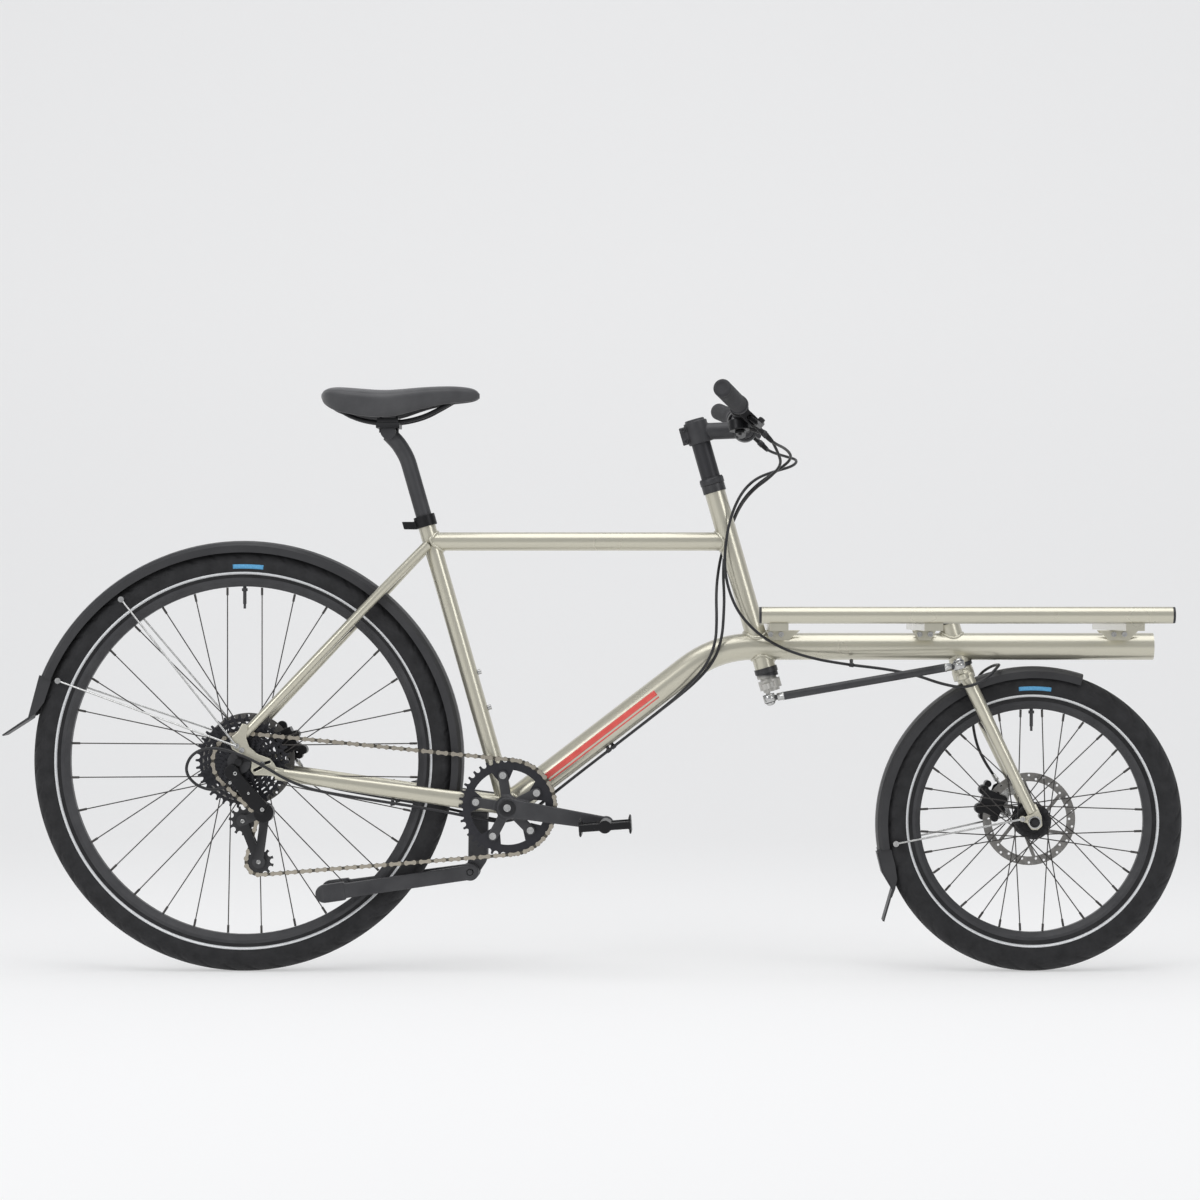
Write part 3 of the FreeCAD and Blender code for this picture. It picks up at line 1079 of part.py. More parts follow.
# ---- Disc brake calipers ----
def caliper(centre, disc_y):
    """A two-sided caliper body over the rotor's edge, with its cable arm and adjuster."""
    body = block(-15, 17, disc_y - 12, disc_y + 24, -20, 20)
    slot = block(-40, 40, disc_y - 2.2, disc_y + 2.2, -40, 40)
    drum = rod(V(0, disc_y + 24, 0), V(0, disc_y + 34, 0), 14)
    arm_bar = rounded_plate([(-8, -8), (8, -8), (10, 34), (-2, 38), (-9, 30)], 3, disc_y + 34, disc_y + 38)
    bridge = block(-22, -14.5, disc_y - 12, disc_y + 24, -20, 20)
    shape = fuse([body.cut(slot), bridge, drum, arm_bar])
    shape.translate(V(centre.x, 0, centre.z))
    return shape


front_caliper_at, rear_caliper_at = V(690, 0, 284), V(-537.5, 0, 390)
front_caliper = turned(caliper(front_caliper_at, FRONT_ROTOR_Y), front_caliper_at, Y, 23)
front_caliper = front_caliper.cut(leg.mirror(V(0, 0, 0), Y))
rear_caliper = turned(caliper(rear_caliper_at, REAR_ROTOR_Y), rear_caliper_at, Y, 155)
rear_caliper = rear_caliper.cut(mirrored(seatstay)).cut(mirrored(dropout)).cut(mirrored(chainstay))
rear_caliper = rear_caliper.cut(mirrored(hanger_insert))
export("front_brake_caliper", max(front_caliper.Solids, key=lambda s: s.Volume))
export("rear_brake_caliper", max(rear_caliper.Solids, key=lambda s: s.Volume))

# ---- Mudguards, stays and flaps ----
def mudguard(centre, r_out, width, start, end):
    """A curved gutter over a wheel, with rounded shoulders and turned-down sides."""
    half = width / 2
    outer = [(r_out - 20, half), (r_out - 8, half), (r_out - 2.5, half - 7), (r_out, half - 18)]
    t = GUARD_THICK
    inner = [(r_out - t, half - 18), (r_out - 2.2 - t, half - 8), (r_out - 8.5, half - t),
             (r_out - 20, half - t)]
    profile = [(r, y) for r, y in outer] + [(r, -y) for r, y in outer[::-1]]
    profile += [(r, -y) for r, y in inner[::-1]] + [(r, y) for r, y in inner]
    wire = Part.makePolygon([V(centre.x + r, y, centre.z) for r, y in profile + profile[:1]])
    arc = Part.Face(wire).revolve(centre, V(0, -1, 0), end - start)
    return turned(arc, centre, V(0, -1, 0), start)


def knob(point, side_in, side_out):
    """The small clamp that holds a stay on a mudguard's edge, on both sides."""
    return both_sides(rod(at(point, -side_out), at(point, -side_in), 5.0))


REAR_GUARD_ENDS, FRONT_GUARD_ENDS = (-10.4, 157.3), (71.8, 189.6)
rear_guard = mudguard(REAR_AXLE, REAR_GUARD_R, REAR_GUARD_W, *REAR_GUARD_ENDS)
front_guard = mudguard(FRONT_GUARD_CENTRE, FRONT_GUARD_R, FRONT_GUARD_W, *FRONT_GUARD_ENDS)
rear_flap = plate([(-947.5, 502), (-965, 436), (-1010, 405.5), (-1008.5, 403.5), (-962.5, 433),
                   (-943.5, 500.5)], -25, 25)
front_flap = plate([(488.4, 204.5), (497, 171), (514.7, 141.8), (498.4, 86), (495.8, 86.8), (511.5, 141),
                    (494.3, 169.6), (485.9, 204)], -25, 25)
export("rear_mudguard", group([rear_guard, rear_flap]))
export("front_mudguard", group([front_guard, front_flap]))

STAY_R = 1.7
rear_knobs = [V(-805, 0, 637), V(-913, 0, 498)]
rear_stay_roots = [V(-601.5, -84.4, 388.5), V(-601.5, -88.4, 388.5)]
rear_stay_rods = []
for point, root in zip(rear_knobs, rear_stay_roots):
    end = at(point, -REAR_GUARD_W / 2 - 4)
    rear_stay_rods.append(rod(root, end, STAY_R).cut(knob(point, 29, 36)))
rear_stay_set = [both_sides(s) for s in rear_stay_rods]
rear_stay_set += [knob(p, REAR_GUARD_W / 2, REAR_GUARD_W / 2 + 7) for p in rear_knobs]
front_knob, front_root = V(517.8, 0, 219.7), V(731, -68.5, 264)
front_end = at(front_knob, -FRONT_GUARD_W / 2 - 4)
front_stay = rod(front_root, front_end, STAY_R).cut(knob(front_knob, 31, 38))
front_stay_bolt = bolt(V(731, -66, 264), V(0, -1, 0), 4.2, 4)
front_stay = front_stay.cut(rod(V(731, -75, 264), V(731, -60, 264), 4.2))
front_stay = max(front_stay.Solids, key=lambda s: s.Volume)
export("rear_mudguard_stays", group(rear_stay_set))
export("front_mudguard_stays", group([both_sides(front_stay), both_sides(front_stay_bolt),
                                      knob(front_knob, FRONT_GUARD_W / 2, FRONT_GUARD_W / 2 + 7)]))

# ---- Kickstand ----
KICK_LEG_Y0, KICK_LEG_Y1 = 25.0, 49.0
KICK_PIN_R = 5.0
mount_body = rounded_plate([(-213, 272), (-180, 272), (-180, 196), (-184, 186), (-196, 168), (-209, 160),
                            (-220, 171), (-214, 190)], 2, -14, 14)
mount_top = block(-213, -180, -24, 24, 262, 274)
mount_pin = rod(at(KICK_PIVOT, -34), at(KICK_PIVOT, 34), KICK_PIN_R)
kickstand_mount = fuse([mount_body, mount_top, mount_pin])
for core in (chainstay, yoke, mirrored(chainstay), mirrored(yoke), shell_core):
    kickstand_mount = kickstand_mount.cut(core)


def kick_leg():
    hub_a, hub_b = at(KICK_PIVOT, -32), at(KICK_PIVOT, -14.4)
    root, low = at(KICK_PIVOT, -KICK_LEG_Y0) + V(-8, 0, -2), at(KICK_TIP, -KICK_LEG_Y1)
    bar = slant_block(root, low, (low - root).normalize().cross(Y).normalize(), V(0, 1, 0), 25, 13)
    foot = slant_block(low + (root - low).normalize() * 26, low - (root - low).normalize() * 10,
                       (low - root).normalize().cross(Y).normalize(), V(0, 1, 0), 31, 18)
    heel = rod(at(KICK_TIP, -KICK_LEG_Y1 - 9), at(KICK_TIP, -KICK_LEG_Y1 + 9), 15.5)
    heel.translate(V(-8, 0, -1))
    leg_solid = fuse([rod(hub_a, hub_b, 15), bar, foot, heel])
    return leg_solid.cut(rod(at(KICK_PIVOT, -40), at(KICK_PIVOT, 0), KICK_PIN_R + 0.06))


kick_link = slant_block(KICK_PIVOT + V(-27, -32, -10), KICK_PIVOT + V(-27, 32, -10), X, Z, 10, 12)
export("kickstand_mount", kickstand_mount)
export("kickstand_legs", fuse([kick_leg(), mirrored(kick_leg()), kick_link]))

# ---- Cable housings ----
front_brake_route = [left.point(-28.2, 54.8), left.point(-34, 76), V(334, 108, 887), V(354, 84, 880),
                     V(345, 54, 868), V(312, 28, 858), V(279, 2, 845), V(254, -20, 820),
                     V(236, -27, 780), V(227, -27, 735), V(225, -26, 690), V(233, -27, 650),
                     V(250, -30, 612), V(284, -35, 576), V(330, -37, 550), V(384, -34, 534),
                     V(442, -31, 525), V(502, -31, 518), V(552, -38, 508), V(594, -58, 493),
                     V(634, -73, 486), V(670, -64, 502), V(692, -38, 523), V(697, -6, 526),
                     V(684, 24, 522), V(665, 50, 506), V(655, 67, 474), V(656, 74, 430), V(664, 78, 386),
                     V(678, 78, 356), V(694, 78, 332)]
rear_brake_route = [right.point(-28.2, 54.8), right.point(-34, 76), V(330, -104, 890), V(340, -76, 876),
                    V(318, -44, 858), V(283, -10, 836), V(256, 14, 808), V(238, 25, 770),
                    V(226, 26, 726), V(223, 16, 682), V(225, 0, 644), V(224, -20, 612), V(221, -31, 572),
                    V(208, -27, 532), V(178, -9, 497), V(132, -4, 459), V(-62, -4, 310), V(-104, 4, 273),
                    V(-144, 16, 255), V(-184, 31, 260), V(-226, 40, 270), V(-276, 47, 280),
                    V(-430, 62, 305), V(-470, 71, 314), V(-496, 85, 328), V(-512, 92, 348)]
shift_route = [pod_top + right.down * 9 + V(27.4, 8.1, -8.1), pod_top + right.down * 9 + V(45, 14, -14),
               V(314, -108, 886), V(322, -76, 866), V(304, -40, 846), V(275, -2, 826), V(252, 25, 798),
               V(236, 34, 760), V(220, 33, 716), V(213, 18, 674), V(211, -5, 640), V(212, -27, 604),
               V(210, -38, 562), V(193, -35, 522), V(162, -19, 488), V(120, -12, 450), V(-66, -12, 307),
               V(-110, -19, 270), V(-148, -28, 256), V(-188, -34, 261), V(-228, -40, 270),
               V(-276, -47, 280), V(-430, -62, 305), V(-478, -73, 315), V(-518, -86, 332),
               V(-558, -95, 358), V(-602, -99, 379), V(-645, -98, 388), V(-676, -96, 376),
               V(-688, -94, 348), V(-672, -91, 324), V(-643, -89, 313), V(-618, -88, 320)]
routes = {"front_brake_cable": front_brake_route, "rear_brake_cable": rear_brake_route,
          "shift_cable": shift_route}
for name, route in routes.items():
    export(name, cable(route, CABLE_R, report=name))


export("clips_and_bolts", group(rack_bolts + bottle_bolts + dropout_bolts))
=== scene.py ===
import json
import math

import bmesh
import bpy
import numpy as np
from mathutils import Matrix, Vector

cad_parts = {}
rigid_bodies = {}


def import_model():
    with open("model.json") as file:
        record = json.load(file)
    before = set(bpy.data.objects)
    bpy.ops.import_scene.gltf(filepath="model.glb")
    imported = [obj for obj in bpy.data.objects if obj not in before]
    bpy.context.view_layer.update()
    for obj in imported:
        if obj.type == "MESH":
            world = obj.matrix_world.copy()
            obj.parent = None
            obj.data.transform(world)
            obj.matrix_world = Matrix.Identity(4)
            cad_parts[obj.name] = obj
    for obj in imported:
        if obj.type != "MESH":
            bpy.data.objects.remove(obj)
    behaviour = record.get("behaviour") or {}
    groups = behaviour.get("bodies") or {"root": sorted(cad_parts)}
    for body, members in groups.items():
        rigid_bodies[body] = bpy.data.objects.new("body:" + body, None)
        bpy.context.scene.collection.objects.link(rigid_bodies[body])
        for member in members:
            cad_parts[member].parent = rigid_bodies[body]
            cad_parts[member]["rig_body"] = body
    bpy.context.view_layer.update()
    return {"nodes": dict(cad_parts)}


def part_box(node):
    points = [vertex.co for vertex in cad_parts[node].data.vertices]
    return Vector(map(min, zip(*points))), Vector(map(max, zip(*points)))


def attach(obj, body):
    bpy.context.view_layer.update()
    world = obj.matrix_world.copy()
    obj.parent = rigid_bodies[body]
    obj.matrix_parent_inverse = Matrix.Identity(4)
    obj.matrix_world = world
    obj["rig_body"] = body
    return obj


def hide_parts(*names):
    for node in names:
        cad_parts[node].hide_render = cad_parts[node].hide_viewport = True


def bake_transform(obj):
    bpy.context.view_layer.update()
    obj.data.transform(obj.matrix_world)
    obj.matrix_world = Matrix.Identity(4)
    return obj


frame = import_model()
nodes = frame["nodes"]
MM = 0.001
SIDES = ((-1, "right"), (1, "left"))  # the side along y and its name


# ---- Places worked out from the frame ----
def middle(node):
    """The middle of a node's box, in metres."""
    low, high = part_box(node)
    return (low + high) / 2


REAR_TYRE_DEPTH, FRONT_TYRE_DEPTH = 0.045, 0.050  # how far each tyre stands out beyond its rim
REAR_HUB, FRONT_HUB = middle("rear_tyre"), middle("front_tyre")
REAR_HUB.y = FRONT_HUB.y = 0.0
REAR_RADIUS = (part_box("rear_rim")[1].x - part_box("rear_rim")[0].x) / 2 + REAR_TYRE_DEPTH
FRONT_RADIUS = (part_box("front_rim")[1].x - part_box("front_rim")[0].x) / 2 + FRONT_TYRE_DEPTH


# ---- Material building ----
def material(name, colour, roughness, metallic=0.0, coat=0.0, sheen=0.0, specular=0.5):
    """A new node material with the settings of its Principled shader."""
    mat = bpy.data.materials.new(name)
    mat.use_nodes = True
    shader = mat.node_tree.nodes["Principled BSDF"]
    shader.inputs["Base Color"].default_value = (*colour, 1)
    shader.inputs["Roughness"].default_value = roughness
    shader.inputs["Metallic"].default_value = metallic
    shader.inputs["Coat Weight"].default_value = coat
    shader.inputs["Coat Roughness"].default_value = 0.08
    shader.inputs["Sheen Weight"].default_value = sheen
    shader.inputs["Specular IOR Level"].default_value = specular
    return mat


def noise(mat, scale, detail=3.0, stretch=(1, 1, 1)):
    """A noise pattern in the object's own metres."""
    tree = mat.node_tree
    coords = tree.nodes.new("ShaderNodeTexCoord")
    mapping = tree.nodes.new("ShaderNodeMapping")
    mapping.inputs["Scale"].default_value = stretch
    texture = tree.nodes.new("ShaderNodeTexNoise")
    texture.inputs["Scale"].default_value = scale
    texture.inputs["Detail"].default_value = detail
    tree.links.new(coords.outputs["Object"], mapping.inputs["Vector"])
    tree.links.new(mapping.outputs["Vector"], texture.inputs["Vector"])
    return texture.outputs["Fac"]


def cells(mat, scale):
    """A pattern of small cells in the object's own metres."""
    tree = mat.node_tree
    coords = tree.nodes.new("ShaderNodeTexCoord")
    texture = tree.nodes.new("ShaderNodeTexVoronoi")
    texture.inputs["Scale"].default_value = scale
    tree.links.new(coords.outputs["Object"], texture.inputs["Vector"])
    return texture.outputs["Distance"]


def ramp(mat, value, low, high, start=0.3, end=0.7):
    """Two colours mixed by a value."""
    node = mat.node_tree.nodes.new("ShaderNodeValToRGB")
    node.color_ramp.elements[0].color = (*low, 1)
    node.color_ramp.elements[0].position = start
    node.color_ramp.elements[1].color = (*high, 1)
    node.color_ramp.elements[1].position = end
    mat.node_tree.links.new(value, node.inputs["Fac"])
    return node.outputs["Color"]


def paint(mat, socket, source):
    """Feeds one input of the shader."""
    shader = mat.node_tree.nodes["Principled BSDF"]
    mat.node_tree.links.new(source, shader.inputs[socket])


def spread(mat, value, low, high):
    """Rescales a 0 to 1 value into a range."""
    node = mat.node_tree.nodes.new("ShaderNodeMapRange")
    node.inputs["To Min"].default_value = low
    node.inputs["To Max"].default_value = high
    mat.node_tree.links.new(value, node.inputs["Value"])
    return node.outputs["Result"]


def object_axis(mat, axis):
    """One axis of the object's own position, in metres."""
    tree = mat.node_tree
    coords = tree.nodes.new("ShaderNodeTexCoord")
    split = tree.nodes.new("ShaderNodeSeparateXYZ")
    tree.links.new(coords.outputs["Object"], split.inputs["Vector"])
    return split.outputs[axis]


def arithmetic(mat, operation, value, other=0.0):
    """A value put through one step of arithmetic."""
    node = mat.node_tree.nodes.new("ShaderNodeMath")
    node.operation = operation
    node.inputs[1].default_value = other
    mat.node_tree.links.new(value, node.inputs[0])
    return node.outputs["Value"]


def bump(mat, height, strength, distance):
    """Adds fine relief from a height pattern."""
    node = mat.node_tree.nodes.new("ShaderNodeBump")
    node.inputs["Strength"].default_value = strength
    node.inputs["Distance"].default_value = distance
    mat.node_tree.links.new(height, node.inputs["Height"])
    paint(mat, "Normal", node.outputs["Normal"])


def worn_edges(mat, body, edge):
    """Rubs the colour lighter along outside edges."""
    worn_from, worn_fully = 0.53, 0.62
    geometry = mat.node_tree.nodes.new("ShaderNodeNewGeometry")
    paint(mat, "Base Color", ramp(mat, geometry.outputs["Pointiness"], body, edge, worn_from, worn_fully))


def frame_paint():
    """Champagne metallic paint with a fine flake."""
    mat = material("champagne_metallic", (0.56, 0.54, 0.46), 0.27, metallic=0.62, coat=0.55)
    flake = noise(mat, 2600, 2)
    paint(mat, "Base Color", ramp(mat, flake, (0.50, 0.478, 0.38), (0.65, 0.625, 0.52), 0.35, 0.65))
    paint(mat, "Roughness", spread(mat, noise(mat, 9, 4), 0.24, 0.33))
    bump(mat, noise(mat, 1400, 1), 0.03, 0.0002)
    return mat


def black_metal():
    """Anodised black metal, worn lighter along its edges."""
    mat = material("black_anodised", (0.012, 0.012, 0.013), 0.36, metallic=0.35, specular=0.4)
    worn_edges(mat, (0.010, 0.010, 0.011), (0.055, 0.055, 0.057))
    paint(mat, "Roughness", spread(mat, noise(mat, 60, 5), 0.28, 0.46))
    bump(mat, noise(mat, 2200, 2), 0.06, 0.0002)
    return mat


def soft_black_metal():
    """Matt black paint."""
    mat = material("matt_black_tube", (0.045, 0.045, 0.048), 0.46, metallic=0.2)
    paint(mat, "Base Color", ramp(mat, noise(mat, 30, 4), (0.036, 0.036, 0.039), (0.055, 0.055, 0.058)))
    bump(mat, noise(mat, 3000, 2), 0.08, 0.0002)
    return mat


def chainring_black():
    """Blue-black anodised metal, worn lighter along its edges."""
    mat = material("blue_black_anodised", (0.006, 0.007, 0.010), 0.34, metallic=0.3, specular=0.35)
    worn_edges(mat, (0.005, 0.006, 0.009), (0.032, 0.032, 0.037))
    paint(mat, "Roughness", spread(mat, noise(mat, 80, 4), 0.28, 0.42))
    return mat


def chain_metal():
    """Bright outer plates, with painted shade darkening the recessed inner plates and rollers between them.
    """
    chain_line, per_metre = 0.046, 250.0
    mat = material("nickel_chain", (0.42, 0.38, 0.31), 0.25, metallic=1.0)
    from_middle = arithmetic(mat, "ABSOLUTE", arithmetic(mat, "ADD", object_axis(mat, "Y"), chain_line))
    outward = arithmetic(mat, "MULTIPLY", from_middle, per_metre)
    # painted shade: everything within 2 mm of the chain's middle line, between the outer plates, is coloured
    # dark
    paint(mat, "Base Color", ramp(mat, outward, (0.12, 0.11, 0.09), (0.46, 0.42, 0.35), 0.48, 0.50))
    return mat


def column_metal():
    """Matt black above the lower bearing, and bare steel on the arm below it."""
    steel_below, black_above = 0.5035, 0.5045
    bare, black = (0.52, 0.51, 0.48), (0.036, 0.036, 0.039)
    mat = material("column_black_and_steel", (0.045, 0.045, 0.048), 0.40, metallic=0.5)
    paint(mat, "Base Color", ramp(mat, object_axis(mat, "Z"), bare, black, steel_below, black_above))
    return mat


def steel(name, colour, roughness=0.24):
    """Brushed steel in one tone, with duller patches."""
    mat = material(name, colour, roughness, metallic=1.0)
    paint(mat, "Roughness", spread(mat, noise(mat, 700, 3, (1, 6, 1)), roughness - 0.08, roughness + 0.12))
    dull = tuple(c * 0.72 for c in colour)
    paint(mat, "Base Color", ramp(mat, noise(mat, 140, 4), dull, colour))
    return mat


def rubber(name, colour, grain=1800):
    """Dull rubber with lighter patches and a fine grain."""
    mat = material(name, colour, 0.72, specular=0.25, sheen=0.08)
    lighter = tuple(c * 1.7 for c in colour)
    paint(mat, "Base Color", ramp(mat, noise(mat, 45, 5), colour, lighter))
    paint(mat, "Roughness", spread(mat, noise(mat, 220, 3), 0.62, 0.84))
    bump(mat, noise(mat, grain, 2), 0.18, 0.0004)
    return mat


def moulded_plastic():
    """Black plastic with a fine moulded texture."""
    mat = material("guard_plastic", (0.035, 0.035, 0.037), 0.48, specular=0.45)
    paint(mat, "Base Color", ramp(mat, noise(mat, 18, 4), (0.024, 0.024, 0.026), (0.036, 0.036, 0.038)))
    paint(mat, "Roughness", spread(mat, noise(mat, 60, 3), 0.40, 0.56))
    bump(mat, cells(mat, 1500), 0.10, 0.0003)
    return mat


def saddle_cover():
    """The grained black cover of the saddle."""
    mat = material("saddle_cover", (0.05, 0.05, 0.052), 0.5, specular=0.4, sheen=0.2)
    paint(mat, "Base Color", ramp(mat, noise(mat, 26, 5), (0.044, 0.044, 0.047), (0.066, 0.066, 0.069)))
    paint(mat, "Roughness", spread(mat, noise(mat, 90, 3), 0.44, 0.58))
    bump(mat, cells(mat, 900), 0.28, 0.0005)
    return mat


def cable_skin():
    """The smooth black skin of a cable housing."""
    mat = material("cable_housing", (0.014, 0.014, 0.016), 0.34, specular=0.5)
    paint(mat, "Roughness", spread(mat, noise(mat, 300, 2), 0.28, 0.42))
    return mat


def reflective():
    """A pale band of small reflecting cells."""
    mat = material("reflective_band", (0.66, 0.67, 0.68), 0.34, metallic=0.25)
    paint(mat, "Base Color", ramp(mat, cells(mat, 900), (0.55, 0.56, 0.57), (0.80, 0.81, 0.82), 0.1, 0.6))
    bump(mat, cells(mat, 900), 0.2, 0.0003)
    return mat


def label_blue():
    """A plain blue patch."""
    mat = material("sidewall_patch", (0.10, 0.36, 0.62), 0.5)
    paint(mat, "Base Color", ramp(mat, noise(mat, 300, 3), (0.08, 0.32, 0.58), (0.13, 0.42, 0.70)))
    return mat


def accent_red():
    """Glossy red paint."""
    mat = material("accent_stripe", (0.72, 0.09, 0.075), 0.33, coat=0.5)
    paint(mat, "Base Color", ramp(mat, noise(mat, 60, 3), (0.68, 0.08, 0.065), (0.78, 0.11, 0.09)))
    return mat


FRAME_PAINT = frame_paint()
BLACK = black_metal()
MATT_BLACK = soft_black_metal()
STEEL = steel("brushed_steel", (0.62, 0.62, 0.61))
CHAIN_STEEL = chain_metal()
RING_BLACK = chainring_black()
SPOKE_STEEL = steel("dark_spoke_steel", (0.10, 0.095, 0.092), 0.34)
ROTOR_STEEL = steel("heat_dulled_steel", (0.30, 0.29, 0.275), 0.34)
TYRE_RUBBER = rubber("tyre_rubber", (0.017, 0.017, 0.018))
GRIP_RUBBER = rubber("grip_rubber", (0.028, 0.028, 0.03), 900)
PLASTIC = moulded_plastic()
COVER = saddle_cover()
CABLE = cable_skin()
BAND = reflective()
PATCH = label_blue()
RED = accent_red()
COLUMN = column_metal()

NODE_MATERIALS = {
    FRAME_PAINT: ("seat_tube", "top_tube", "bearing_shells", "main_boom", "rear_stays", "rear_dropouts",
                  "cargo_rails", "cargo_crossbars", "rack_brackets", "fork"),
    BLACK: ("seat_collar", "bearing_cups", "rear_brake_caliper", "rear_axle", "rear_derailleur",
            "bar_controls", "right_brake_lever", "left_brake_lever", "shift_lever", "front_axle",
            "front_brake_caliper", "front_hub", "rear_hub", "right_pedal", "left_pedal",
            "derailleur_cage", "saddle_rails_and_clamp"),
    COLUMN: ("steering_column",),
    MATT_BLACK: ("seatpost", "stem", "handlebar", "front_rim", "rear_rim", "kickstand_mount",
                 "kickstand_legs", "crank_arms", "tie_rod"),
    RING_BLACK: ("cassette", "chainring"),
    STEEL: ("clips_and_bolts", "rear_mudguard_stays", "front_mudguard_stays", "crank_hardware"),
    ROTOR_STEEL: ("front_rotor", "rear_rotor"),
    CHAIN_STEEL: ("chain",),
    SPOKE_STEEL: ("front_spokes", "rear_spokes"),
    PLASTIC: ("rail_end_caps", "upper_jockey_wheel", "lower_jockey_wheel", "rear_mudguard",
              "front_mudguard"),
}
for mat, names in NODE_MATERIALS.items():
    for name in names:
        nodes[name].data.materials.clear()
        nodes[name].data.materials.append(mat)


# ---- Mesh helpers ----
def mesh_object(name, verts, faces, mat, smooth=True):
    """A new mesh object in the scene, in one material."""
    mesh = bpy.data.meshes.new(name)
    mesh.from_pydata([tuple(v) for v in verts], [], faces)
    mesh.validate()
    mesh.polygons.foreach_set("use_smooth", [smooth] * len(mesh.polygons))
    mesh.materials.append(mat)
    obj = bpy.data.objects.new(name, mesh)
    bpy.context.scene.collection.objects.link(obj)
    return obj


def piece(name, verts, faces, mat, body, smooth=True):
    """A new mesh piece that rides on a body."""
    obj = mesh_object(name, verts, faces, mat, smooth)
    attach(obj, body)
    return obj


def grid_faces(rows, columns, close_rows, close_columns, offset=0):
    """Quads over a grid of points, wrapped round where it closes."""
    last_row = rows if close_rows else rows - 1
    last_column = columns if close_columns else columns - 1
    return [(offset + i * columns + j, offset + i * columns + (j + 1) % columns,
             offset + (i + 1) % rows * columns + (j + 1) % columns, offset + (i + 1) % rows * columns + j)
            for i in range(last_row) for j in range(last_column)]


def end_caps(sides, rows):
    """The two faces that close the ends of a tube of loops."""
    return [tuple(reversed(range(sides))), tuple(range((rows - 1) * sides, rows * sides))]


def flat_loops(sides, rows, offset):
    """A face across each of the given loops of a grid."""
    return [tuple(offset + row * sides + k for k in range(sides)) for row in rows]


def cut_corners(points):
    """The points a quarter of the way in from both ends of every leg of a path."""
    a, b = points[:-1], points[1:]
    return np.stack([a * 0.75 + b * 0.25, a * 0.25 + b * 0.75], 1).reshape(-1, points.shape[1])


def wheel_point(hub, radius, y, angle):
    """A point on a wheel, from its radius, its distance across and its angle."""
    return (hub.x + radius * math.cos(angle), hub.y + y, hub.z + radius * math.sin(angle))


# ---- Tyres ----
CASING_LEAN = 128  # degrees from the crown to where the casing meets the rim
BLOCKS_LEAN, SIPES_LEAN = 62, 74  # degrees from the crown to the end of the blocks and of the sipes
RIB_HALF, RIB_GROOVE_END = 0.0035, 0.0052  # across: the centre rib and the groove beside it
SIDEWALL_DEPTH = 0.0012  # how far the plain sidewall lies below the crown's arc


def tread_depth(lean, across, block):
    """How deep the rubber is cut at a point, from its lean in degrees, its place across and its block."""
    if lean < BLOCKS_LEAN:
        if RIB_HALF < across < RIB_GROOVE_END:
            return 0.0014
        slanted_groove = across > RIB_GROOVE_END and (block + across * 42) % 1.0 < 0.17
        return 0.0013 if slanted_groove else 0.0
    if lean < SIPES_LEAN:
        return 0.0011 if (block * 2 + 0.3) % 1.0 < 0.30 else 0.0
    return SIDEWALL_DEPTH


def tyre(name, node, hub, radius, width, body, seat_radius, blocks, steps):
    """A tyre casing with a raised road tread: a centre rib, slanted blocks and shoulder sipes."""
    half, foot = width / 2, 0.012
    mid = radius - half
    profile = np.radians(np.linspace(-CASING_LEAN, CASING_LEAN, 65))
    verts = []
    for i in range(steps):
        angle = 2 * math.pi * i / steps
        for a in profile:
            r, y = mid + half * math.cos(a), half * math.sin(a)
            depth = tread_depth(abs(math.degrees(a)), abs(y), i * blocks / steps)
            verts.append(wheel_point(hub, r - depth * math.cos(a), y - depth * math.sin(a), angle))
        for y in (foot, -foot):
            verts.append(wheel_point(hub, seat_radius, y, angle))
    faces = grid_faces(steps, len(profile) + 2, True, True)
    obj = piece(name, verts, faces, TYRE_RUBBER, body)
    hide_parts(node)


def side_band(name, hub, radius, width, tyre_radius, tyre_width, body, mat, span=(0, 360)):
    """A thin band moulded on both sidewalls, between two angles, with closed edges."""
    proud, sunk = 0.0004, -0.0008
    half = tyre_width / 2
    mid = tyre_radius - half
    turn = span[1] - span[0]
    steps = max(8, int(turn * 0.8))
    closed = turn >= 360
    count = steps if closed else steps + 1
    inner, outer = radius - width / 2, radius + width / 2
    section = ((inner, sunk), (inner, proud), (radius, proud), (outer, proud), (outer, sunk))
    verts, faces = [], []
    for side in (-1, 1):
        offset = len(verts)
        for i in range(count):
            angle = math.radians(span[0] + turn * i / steps)
            for r, lift in section:
                reach = half - SIDEWALL_DEPTH + lift
                y = math.sqrt(max(reach * reach - (r - mid) ** 2, 1e-9))
                verts.append(wheel_point(hub, r, side * y, angle))
        faces += grid_faces(count, len(section), closed, True, offset)
        if not closed:
            faces += flat_loops(len(section), (0, count - 1), offset)
    piece(name, verts, faces, mat, body)


REAR_WIDTH, FRONT_WIDTH = 0.050, 0.055
REAR_TYRE = (REAR_RADIUS, REAR_WIDTH, "rear_wheel")
FRONT_TYRE = (FRONT_RADIUS, FRONT_WIDTH, "front_wheel")
tyre("rear_tyre_tread", "rear_tyre", REAR_HUB, *REAR_TYRE, seat_radius=0.3112, blocks=56, steps=720)
tyre("front_tyre_tread", "front_tyre", FRONT_HUB, *FRONT_TYRE, seat_radius=0.2032, blocks=40, steps=520)
side_band("rear_reflective_band", REAR_HUB, 0.3212, 0.0042, *REAR_TYRE, BAND)
side_band("front_reflective_band", FRONT_HUB, 0.2143, 0.0042, *FRONT_TYRE, BAND)
side_band("rear_sidewall_patch", REAR_HUB, 0.3325, 0.0075, *REAR_TYRE, PATCH, (84, 93))
side_band("front_sidewall_patch", FRONT_HUB, 0.2270, 0.0070, *FRONT_TYRE, PATCH, (82, 96))


